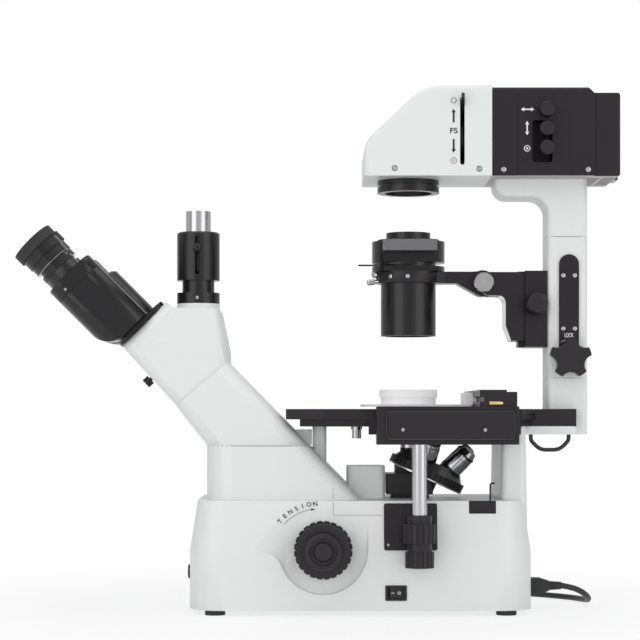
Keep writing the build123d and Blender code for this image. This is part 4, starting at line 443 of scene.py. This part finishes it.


# The mains lead, made first

COIL = Vector((110, 150, 0))
COIL_OUT, COIL_IN = 43, 24
LOW_LAYER, LAYER_RISE = 3.2, 6.2
LEAD_RADIUS = 3
lead = [
    (246, 0, 22), (258, 1, 20), (269, 7, 14.5), (276, 18, 8.5), (278, 31, 4.6), (276, 46, 3.3), (268, 68, 3.1),
    (250, 90, 3.2), (226, 113, 3.1), (199, 137, 3.2), (168, 164, 3.1),
]
turn_from, turns_in, turns_out = math.radians(56), 3.0, 3.0 + 44 / 360
steps_a, steps_b = 42, 44
for k in range(steps_a + 1):
    share = k / steps_a
    angle = turn_from + 2 * math.pi * turns_in * share
    radius = COIL_OUT - (COIL_OUT - COIL_IN) * share
    lead.append((COIL.x + radius * math.cos(angle), COIL.y + radius * math.sin(angle), LOW_LAYER))
for k in range(1, steps_b + 1):
    share = k / steps_b
    angle = turn_from + 2 * math.pi * (turns_in + turns_out * share)
    radius = COIL_IN + (COIL_OUT - COIL_IN) * share
    height = LOW_LAYER + LAYER_RISE * min(1, k / 5)
    lead.append((COIL.x + radius * math.cos(angle), COIL.y + radius * math.sin(angle), height))
lead += [(78, 188.5, 5.6), (56, 181, 4.6), (38, 172, 8.5)]
curve = bpy.data.curves.new("mains_lead", "CURVE")
curve.dimensions = "3D"
curve.bevel_depth = LEAD_RADIUS * MM
curve.bevel_resolution = 5
curve.resolution_u = 6
spline = curve.splines.new("NURBS")
spline.points.add(len(lead) - 1)
for point, place in zip(spline.points, lead):
    point.co = (*(Vector(place) * MM), 1)
spline.order_u = 3
spline.use_endpoint_u = True
mains_lead = keep(bpy.data.objects.new("mains_lead", curve), "base", "black_rubber", lead_skin)


def coil_tie(angle, width=7, thick=0.7):
    """A soft strap round all the turns, with a short free tongue on top."""
    out = Vector((math.cos(angle), math.sin(angle), 0))
    along = Vector((-out.y, out.x, 0))
    mid_r, half_r = 33.5, 13.2
    mid_z, half_z = 6.75, 6.6
    squareness = 0.45
    loop = []
    for k in range(48):
        a = 2 * math.pi * k / 48
        c, s = math.cos(a), math.sin(a)
        reach = mid_r + half_r * math.copysign(abs(c) ** squareness, c)
        height = mid_z + half_z * math.copysign(abs(s) ** squareness, s)
        loop.append((reach, height, c, s))
    bm = bmesh.new()
    rows = []
    for r, z, c, s in loop:
        row = []
        for grow, side in ((0, -0.5), (thick, -0.42), (thick, 0.42), (0, 0.5)):
            spot = COIL + out * (r + grow * c) + along * width * side + UP * max(0.05, z + grow * s)
            row.append(bm.verts.new(spot * MM))
        rows.append(row)
    for a, b in zip(rows, rows[1:] + rows[:1]):
        for k in range(4):
            bm.faces.new((a[k], a[(k + 1) % 4], b[(k + 1) % 4], b[k]))
    tongue = []
    for k in range(9):
        r = 27 + 2.1 * k
        lift = 14.2 + 0.02 * k * k
        tongue.append([
            bm.verts.new((COIL + out * r + along * width * side * 0.8 + UP * (lift + up)) * MM)
            for side, up in ((-0.5, 0), (-0.5, thick), (0.5, thick), (0.5, 0))
        ])
    for a, b in zip(tongue, tongue[1:]):
        for k in range(4):
            bm.faces.new((a[k], a[(k + 1) % 4], b[(k + 1) % 4], b[k]))
    bm.faces.new(tongue[0])
    bm.faces.new(tongue[-1])
    bmesh.ops.recalc_face_normals(bm, faces=bm.faces)
    mesh = bpy.data.meshes.new("coil_tie")
    bm.to_mesh(mesh)
    bm.free()
    for face in mesh.polygons:
        face.use_smooth = True
    mesh.set_sharp_from_angle(angle=math.radians(40))
    return keep(bpy.data.objects.new("coil_tie", mesh), "base", "black_rubber", rubber)


tie = coil_tie(math.radians(235))
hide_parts("power_cord", "cord_coil")

# Printed marks, seam lines, and the carriage panel's painted shadow and highlight

FOCUS = Vector((3.2, 0, 64.6))
for k, letter in enumerate("TENSION"):
    angle = math.radians(147 - 47 * k / 6)
    reach = 50.5 - 5.5 * k / 6
    spot, normal = touch("base_housing", FOCUS.x + reach * math.cos(angle), FOCUS.z + reach * math.sin(angle))
    lean = Vector((math.cos(angle) * 0.8, 0, math.sin(angle)))
    laid_on_face(f"tension_letter_{k}", words(letter, 6.2), spot, normal, "base", "white_paint", ink_and_shade_black, lean)


def ribbon(name, places, width, solid, body, slot, material, proud=0.08):
    """A narrow line of ink or shadow that follows a solid's near face through (x, z) places."""
    bm = bmesh.new()
    pairs = []
    for k, (x, z) in enumerate(places):
        ahead = Vector(places[min(k + 1, len(places) - 1)]) - Vector(places[max(k - 1, 0)])
        across = Vector((-ahead.y, ahead.x)).normalized() * width / 2
        row = []
        for side in (1, -1):
            spot, normal = touch(solid, x + side * across.x, z + side * across.y)
            row.append(bm.verts.new((spot + normal * proud) * MM))
        pairs.append(row)
    for a, b in zip(pairs, pairs[1:]):
        bm.faces.new((a[0], a[1], b[1], b[0]))
    mesh = bpy.data.meshes.new(name)
    bm.to_mesh(mesh)
    bm.free()
    return keep(bpy.data.objects.new(name, mesh), body, slot, material)


sweep = [math.radians(147 - 42 * k / 20) for k in range(21)]
reaches = [45.4 - 5 * k / 20 for k in range(21)]
arc = [(FOCUS.x + r * math.cos(a), FOCUS.z + r * math.sin(a)) for a, r in zip(sweep, reaches)]
ribbon("tension_arc", arc, 0.5, "base_housing", "base", "white_paint", ink_and_shade_black)
spot, normal = touch("base_housing", *arc[-1])
head = outline([(-1.2, -1.5), (1.2, -1.5), (0, 3)])
laid_on_face("tension_arrow", head, spot, normal, "base", "white_paint", ink_and_shade_black, Vector((0.98, 0, 0.2)))

COVER_EDGE, COVER_FOOT = 13, 98
ARM_SEAM = 165.4
PILLAR_SEAM_HIGH, PILLAR_SEAM_LOW = 375.9, 233.3
for name, solid, width, places in (
    ("service_cover_line", "base_housing", 0.45, [(COVER_EDGE, 139 - 5.2 * k) for k in range(6)]),
    ("service_cover_side", "base_housing", 0.45, [(COVER_EDGE, z) for z in (111.4, 105, COVER_FOOT)]),
    ("service_cover_foot", "base_housing", 0.45, [(COVER_EDGE + 4 * k, COVER_FOOT) for k in range(13)]),
    ("arm_seam_line", "base_housing", 0.7, [(-106 + 4.6 * k, ARM_SEAM) for k in range(21)]),
    ("pillar_seam_high", "pillar", 0.45, [(231 + 4.4 * k, PILLAR_SEAM_HIGH) for k in range(9)]),
    ("pillar_seam_low", "pillar", 0.45, [(231 + 4.4 * k, PILLAR_SEAM_LOW) for k in range(9)]),
):
    ribbon(name, places, width, solid, "base", "white_paint", seam_grey)


def rounded(x0, x1, z0, z1, r, steps=8):
    """A rectangle's outline with rounded corners."""
    places = []
    for cx, cz, start in ((x1 - r, z1 - r, 0), (x0 + r, z1 - r, 90), (x0 + r, z0 + r, 180), (x1 - r, z0 + r, 270)):
        for k in range(steps + 1):
            a = math.radians(start + 90 * k / steps)
            places.append((cx + r * math.cos(a), cz + r * math.sin(a)))
    return places


# Painted shadow round the carriage's raised panel, and a thin painted highlight along the panel's edge just inside
# it.
side = touch("stage_carriage", 125, 186)[0].y
shadow = outline(rounded(-62.5, 62.5, -14.1, 14.1, 4.4), rounded(-62, 62, -13.6, 13.6, 4))
laid_on_face("carriage_panel_painted_shadow", shadow, (125.6, side, 186), NEAR, "carriage", "black_metal", panel_shadow)
gleam = outline(rounded(-62, 62, -13.6, 13.6, 4), rounded(-61.75, 61.75, -13.35, 13.35, 3.8))
laid_on_face("carriage_panel_painted_highlight", gleam, (125.6, side, 186), NEAR, "carriage", "black_metal", slider_grey)

side = touch("lamp_cover", 133, 478)[0].y
STOP_X = 132.8
for name, shape, z, up, narrow in (
    ("field_stop_words", words("FS", 7.6), 478.3, UP, 1.15),
    ("field_stop_up", outline(arrow(13.6, 1.0, 2.3)), 493.5, UP, 1),
    ("field_stop_down", outline(arrow(13.6, 1.0, 2.3)), 463.3, -UP, 1),
    ("field_stop_open", outline(circle(3.2, 6), circle(2.5, 6)), 508.6, UP, 1),
    ("field_stop_shut", outline(circle(3.2, 32), circle(2.7, 32)), 448.8, UP, 1),
    ("field_stop_small", outline(circle(1.4, 6), circle(0.9, 6)), 448.8, UP, 1),
):
    laid_on_face(name, shape, (STOP_X, side, z), NEAR, "base", "white_paint", ink_and_shade_black, up, narrow=narrow)

side = touch("lamp_housing", 205, 500)[0].y
for name, shape, x, z, up in (
    ("lamp_across", outline(arrow(13.4, 0.7, 2.1, True)), 206.2, 499.7, RIGHT),
    ("lamp_up_down", outline(arrow(14.2, 0.7, 2.1, True)), 205.8, 481, UP),
    ("lamp_target", outline(circle(3.2), circle(2.4), circle(1.1, 20)), 205.8, 460.9, UP),
):
    laid_on_face(name, shape, (x, side, z), NEAR, "base", "black_metal", mark_white, up)

side = touch("lock_plate", 251, 300)[0].y
laid_on_face(
    "lock_words", words("LOCK", 5.8), (250.8, side, 276.2), NEAR, "base", "black_metal", mark_white, narrow=0.58
)
bow = [(-5 + 1.1 * k, -1.4 + 2.6 * math.sin(math.pi * k / 16)) for k in range(9)]
tail = [(x, y - 0.55) for x, y in reversed(bow)]
laid_on_face("lock_arc", outline(bow + tail), (248.2, side, 271.6), NEAR, "base", "black_metal", mark_white)

for name, shape, x in (
    ("switch_on", outline([(-1.4, -0.3), (1.4, -0.3), (1.4, 0.3), (-1.4, 0.3)]), -3.2),
    ("switch_off", outline(circle(1.5, 28), circle(0.95, 28)), 3.0),
):
    spot, normal = touch("switch_rocker", 74.2 + x, 22.5)
    laid_on_face(name, shape, spot, normal, "rocker", "black_plastic", mark_white)

# Small fasteners and trim

for name, x, z in (("cover_screw_a", 74.3, 441.4), ("cover_screw_b", 158.3, 440.7)):
    screw(name, touch("lamp_cover", x, z)[0], NEAR, 2.1, "base")
for name, x, z in (("lamp_screw_a", 182.6, 440), ("lamp_screw_b", 266.6, 440)):
    screw(name, touch("lamp_housing", x, z)[0], NEAR, 2.4, "base")
for k, (x, z) in enumerate(((245.2, 336.6), (256.8, 336.6), (245.2, 283), (256.8, 283))):
    screw(f"lock_screw_{k}", touch("lock_plate", x, z)[0], NEAR, 2.0, "base")
for name, x, z in (("carriage_screw_a", 79.7, 182), ("carriage_screw_b", 158.9, 181.8)):
    screw(name, touch("stage_carriage", x, z)[0], NEAR, 1.6, "carriage")
for name, x in (("ring_screw_a", 71), ("ring_screw_b", 88)):
    spot, normal = touch("condenser_arm", x, 335.4)
    screw(name, spot, normal, 1.9, "condenser_unit")
spot, normal = touch("wing_right", -252.8, 320.8)
screw("wing_screw", spot, normal, 1.3, "right_eye")
spot, normal = touch("photo_port", -124, 314.5)
screw("port_screw", spot, normal, 1.6, "base")
spot, normal = touch("focus_cover", 66.5, 69.5)
screw("focus_screw", spot, normal, 1.3, "base")
for name, solid, x, z, radius in (
    ("head_plug", "head_housing", -157.5, 269.8, 4.4),
    ("pillar_plug_a", "pillar", 249, 407, 4.2),
    ("pillar_plug_b", "pillar", 254, 391, 3.2),
):
    spot, normal = touch(solid, x, z)
    plug = [(radius, -0.3), (radius, 0.12), (radius - 0.5, 0.3), (0, 0.3)]
    turned(name, spot, normal, plug, "base", "white_paint", enamel)
turned(
    "clamp_dimple", (165, -28.25, 329.6), NEAR, [(3.4, -0.1), (3.2, 0.12), (1.3, 0.12), (0, -0.05)], "arm_clamp",
    "bright_metal", steel,
)
knob = [(2.2, -1), (3.4, 0.5), (3.6, 3), (2.6, 5.2), (0, 6)]
turned("iris_pin", (57.8, -14, 337.5), (-1, -0.5, 0.1), knob, "condenser_unit", "bright_metal", chrome, 28)
knurl = [(3.1 if k % 2 else 2.85, 2.2 + 0.55 * k) for k in range(13)]
grip = [(2, -2), (2, 2)] + knurl + [(2.4, 9.6), (0, 9.6)]
turned("centring_screw", (57, -13, 331), (-1, -0.35, -0.15), grip, "condenser_unit", "bright_metal", steel, 28)
pin_y = touch("stage_carriage", 170, 207.5)[0].y - 0.6
pin = [(1.9, 0), (1.9, 12), (1.5, 13), (0, 13)]
turned("holder_pin", (163, pin_y, 207.5), RIGHT, pin, "carriage", "bright_metal", brass, 28)

# Nosepiece: bright rim under the grip, a thin ring of painted shade round the grip, and the objectives' rings

TILT = math.radians(25)
spin = Vector((math.sin(TILT), 0, math.cos(TILT)))
out_x = Vector((math.cos(TILT), 0, -math.sin(TILT)))
hub = Vector((108.5, 0, 136.5))
rim = [(37, -5.1), (40.2, -4.9), (40.3, -3.6), (37, -3.4)]
turned("grip_rim", hub, spin, rim, "turret", "bright_metal", steel, 90)
# A thin dark ring of painted shade round the grip stands for the shade in its cut.
groove_shade_ring = [(38.6, -0.5), (39.2, -0.5), (39.2, 0.5), (38.6, 0.5)]
turned("grip_groove_painted_shade", hub, spin, groove_shade_ring, "turret", "bright_metal", ink_and_shade_black, 90)
seat_r = 18.5 / math.cos(TILT)
for k in range(5):
    angle = math.radians(180 + 72 * k)
    out = out_x * math.cos(angle) + Vector((0, 1, 0)) * math.sin(angle)
    lean = spin * math.cos(TILT) + out * math.sin(TILT)
    foot = hub + spin * 4.5 + out * seat_r + lean * 9
    long = 38 - (5 - k) % 5 * 3
    for name, share, profile, material, steps in (
        ("barrel_grip", 0, [(10.05, 0.5), (10.3, 0.7), (10.3, 4.3), (10.05, 4.5)], tube_black, 60),
        ("barrel_line", 0.62, [(9.5, 0), (9.62, 0.05), (9.62, 0.45), (9.5, 0.5)], tube_black, 48),
        ("barrel_front", 0.8, [(9.0, -1.2), (9.6, -1), (9.6, 0.6), (8.8, 1.0)], tube_black, 48),
        ("front_lens", 1, [(3.2, -0.4), (3.0, 0.08), (1.6, 0.22), (0, 0.28)], lens_coat, 32),
    ):
        turned(f"{name}_{k}", foot + lean * long * share, lean, profile, "turret", "bright_metal", material, steps)

repaint("field_lens", lens_coat, lambda at, n: math.hypot(at.x - 90, at.y) < 23.9 and at.z < 433)
# The field lens housing's downward faces get the pinkish grey of painted bench-bounce light.
repaint("field_lens", underside_bounce_grey, lambda at, n: n.z < -0.9 and at.z < 422)
# A thin dark sleeve round the tube, just above its black lower length, paints the shade inside the port's slot.
slot_shade_profile = [(12.72, 0), (12.74, 0.1), (12.74, 10.4), (12.72, 10.5)]
turned("tube_slot_painted_shade", (-124, 0, 371.6), UP, slot_shade_profile, "port_tube", "bright_metal", tube_black, 72, closed=False)
repaint("photo_tube", tube_black, lambda at, n: at.z < 371.7 or at.y < -13)
repaint("condenser_bracket", steel, lambda at, n: n.x < -0.35 and abs(n.y) < 0.3)
repaint("nosepiece_turret", dome_grey, lambda at, n: (at - hub).dot(spin) > 4.6)
# The lamp housing's downward faces get the pinkish grey of painted bench-bounce light.
repaint("lamp_housing", underside_bounce_grey, lambda at, n: n.z < -0.9 and at.z < 434.2)
for name in ("eyepiece_right", "eyepiece_left"):
    sign = -1 if name.endswith("right") else 1
    look = Vector((-1, 0, 1)).normalized()
    foot = Vector((-178.3, 0, 285)) + Vector((1, 0, 1)).normalized() * -18.3 + Vector((0, 31 * sign, 0))
    body = "right_eye" if sign < 0 else "left_eye"
    lens = [(13.8, 0), (13.6, 1.2), (8, 2.4), (0, 2.8)]
    turned(name + "_lens", foot + look * 121.6, look, lens, body, "black_metal", lens_coat)
    for k, (start, r, material) in enumerate((
        (98.9, 19.4, tube_black), (107.9, 20.3, steel), (117.2, 21.3, tube_black),
    )):
        line = [(r - 0.3, -0.3), (r + 0.12, -0.2), (r + 0.12, 0.2), (r - 0.3, 0.3)]
        turned(f"{name}_line_{k}", foot + look * start, look, line, body, "black_metal", material, 56)

for name, width in (
    ("base_housing", 0.8), ("arm_housing", 0.6), ("head_housing", 0.8), ("pillar", 0.4), ("lamp_cover", 0.6),
    ("lamp_housing", 0.5), ("stage_plate", 0.5), ("stage_carriage", 0.4), ("condenser_block", 0.4),
    ("condenser_bracket", 0.4), ("condenser_arm", 0.4), ("lock_plate", 0.3), ("bino_plate", 0.4), ("wing_right", 0.6),
    ("wing_left", 0.6), ("filter_slide", 0.3), ("focus_cover", 0.3), ("phase_slider", 0.3), ("specimen_holder", 0.3),
):
    soften(name, width)


# Studio

def pale_world():
    """White to the eye and through clear things, soft light elsewhere, and grey bands for bright metal to mirror."""
    world = bpy.data.worlds.new("pale_studio")
    scene.world = world
    world.use_nodes = True
    tree = world.node_tree
    tree.nodes.clear()
    add, link = tree.nodes.new, tree.links.new
    out = add("ShaderNodeOutputWorld")
    seen = add("ShaderNodeBackground")
    seen.inputs["Color"].default_value = (1, 1, 1, 1)
    soft = add("ShaderNodeBackground")
    soft.inputs["Color"].default_value = (0.97, 0.98, 1, 1)
    soft.inputs["Strength"].default_value = 0.62
    shine = add("ShaderNodeBackground")
    heading = add("ShaderNodeTexCoord")
    split = add("ShaderNodeSeparateXYZ")
    link(heading.outputs["Generated"], split.inputs[0])
    ahead = add("ShaderNodeMath")
    ahead.operation = "MULTIPLY"
    ahead.inputs[1].default_value = -1
    link(split.outputs["Y"], ahead.inputs[0])
    turn = add("ShaderNodeMath")
    turn.operation = "ARCTAN2"
    link(split.outputs["X"], turn.inputs[0])
    link(ahead.outputs[0], turn.inputs[1])
    either_side = add("ShaderNodeMath")
    either_side.operation = "ABSOLUTE"
    link(turn.outputs[0], either_side.inputs[0])
    flags = add("ShaderNodeValToRGB")
    spans = flags.color_ramp.elements
    spans[0].position, spans[0].color = 0.0, (0.6, 0.6, 0.6, 1)
    spans[1].position, spans[1].color = 1.0, (0.85, 0.85, 0.85, 1)
    for place, grey in (
        (0.05, 0.6), (0.11, 0.8), (0.3, 0.8), (0.37, 0.45), (0.44, 0.45), (0.52, 0.7), (0.7, 0.5), (0.85, 0.7),
    ):
        spans.new(place).color = (grey, grey, grey, 1)
    share = add("ShaderNodeMath")
    share.operation = "DIVIDE"
    share.inputs[1].default_value = math.pi
    link(either_side.outputs[0], share.inputs[0])
    link(share.outputs[0], flags.inputs["Fac"])
    link(flags.outputs["Color"], shine.inputs["Color"])
    path = add("ShaderNodeLightPath")
    either = add("ShaderNodeMath")
    either.operation = "MAXIMUM"
    link(path.outputs["Is Camera Ray"], either.inputs[0])
    link(path.outputs["Is Transmission Ray"], either.inputs[1])
    lit = add("ShaderNodeMixShader")
    link(path.outputs["Is Glossy Ray"], lit.inputs["Fac"])
    link(soft.outputs[0], lit.inputs[1])
    link(shine.outputs[0], lit.inputs[2])
    mix = add("ShaderNodeMixShader")
    link(either.outputs[0], mix.inputs["Fac"])
    link(lit.outputs[0], mix.inputs[1])
    link(seen.outputs[0], mix.inputs[2])
    link(mix.outputs[0], out.inputs["Surface"])


def bench():
    mesh = bpy.data.meshes.new("bench_top")
    bm = bmesh.new()
    bmesh.ops.create_grid(bm, x_segments=2, y_segments=2, size=3)
    bm.to_mesh(mesh)
    bm.free()
    top = bpy.data.objects.new("bench_top", mesh)
    top.location.z = -0.0003
    scene.collection.objects.link(top)
    mat = bpy.data.materials.new("pale_bench")
    mat.use_nodes = True
    tree = mat.node_tree
    shader = tree.nodes["Principled BSDF"]
    shader.inputs["Base Color"].default_value = (0.85, 0.85, 0.85, 1)
    shader.inputs["Roughness"].default_value = 0.6
    glow = tree.nodes.new("ShaderNodeEmission")
    glow.inputs["Strength"].default_value = 1
    place = tree.nodes.new("ShaderNodeTexCoord")
    far = tree.nodes.new("ShaderNodeVectorMath")
    far.operation = "LENGTH"
    tree.links.new(place.outputs["Object"], far.inputs[0])
    fade = tree.nodes.new("ShaderNodeMapRange")
    fade.inputs["From Min"].default_value = 0.25
    fade.inputs["From Max"].default_value = 0.6
    fade.inputs["To Min"].default_value = 0.78
    fade.inputs["To Max"].default_value = 1
    tree.links.new(far.outputs["Value"], fade.inputs["Value"])
    path = tree.nodes.new("ShaderNodeLightPath")
    seen = tree.nodes.new("ShaderNodeMath")
    seen.operation = "MULTIPLY"
    tree.links.new(fade.outputs["Result"], seen.inputs[0])
    shown = path.outputs["Is Camera Ray"]
    for ray in ("Is Glossy Ray", "Is Transmission Ray"):
        either = tree.nodes.new("ShaderNodeMath")
        either.operation = "MAXIMUM"
        tree.links.new(shown, either.inputs[0])
        tree.links.new(path.outputs[ray], either.inputs[1])
        shown = either.outputs[0]
    tree.links.new(shown, seen.inputs[1])
    mix = tree.nodes.new("ShaderNodeMixShader")
    tree.links.new(seen.outputs[0], mix.inputs["Fac"])
    tree.links.new(shader.outputs[0], mix.inputs[1])
    tree.links.new(glow.outputs[0], mix.inputs[2])
    tree.links.new(mix.outputs[0], tree.nodes["Material Output"].inputs["Surface"])
    mesh.materials.append(mat)


def softbox(name, place, aim, size, power, mirrored=True):
    light = bpy.data.lights.new(name, "AREA")
    light.shape = "RECTANGLE"
    light.size, light.size_y = size
    light.energy = power
    lamp = bpy.data.objects.new(name, light)
    lamp.location = place
    lamp.rotation_euler = (Vector(aim) - Vector(place)).to_track_quat("-Z", "Y").to_euler()
    lamp.visible_glossy = mirrored
    scene.collection.objects.link(lamp)


pale_world()
bench()
softbox("key_left", (-1.5, -1.7, 1.1), (0, 0, 0.2), (1.7, 2.2), 11)
softbox("fill_right", (1.7, -1.5, 0.8), (0, 0, 0.2), (1.5, 2.2), 9.5)
softbox("top", (0, -0.1, 1.9), (0, 0, 0), (1.6, 1.2), 7)
softbox("low_front", (0, -2.4, 0.25), (0, 0, 0.08), (2.4, 0.5), 10, False)
scene.view_settings.view_transform = "Standard"

camera = bpy.data.cameras.new("side_view")
camera.lens = 110.3
camera.sensor_width = 36
camera.shift_y = 90 / 640
viewer = bpy.data.objects.new("side_view", camera)
viewer.location = (0, -2.0, 0.201)
viewer.rotation_euler = (math.pi / 2, 0, 0)
scene.collection.objects.link(viewer)
scene.camera = viewer

bpy.context.view_layer.update()
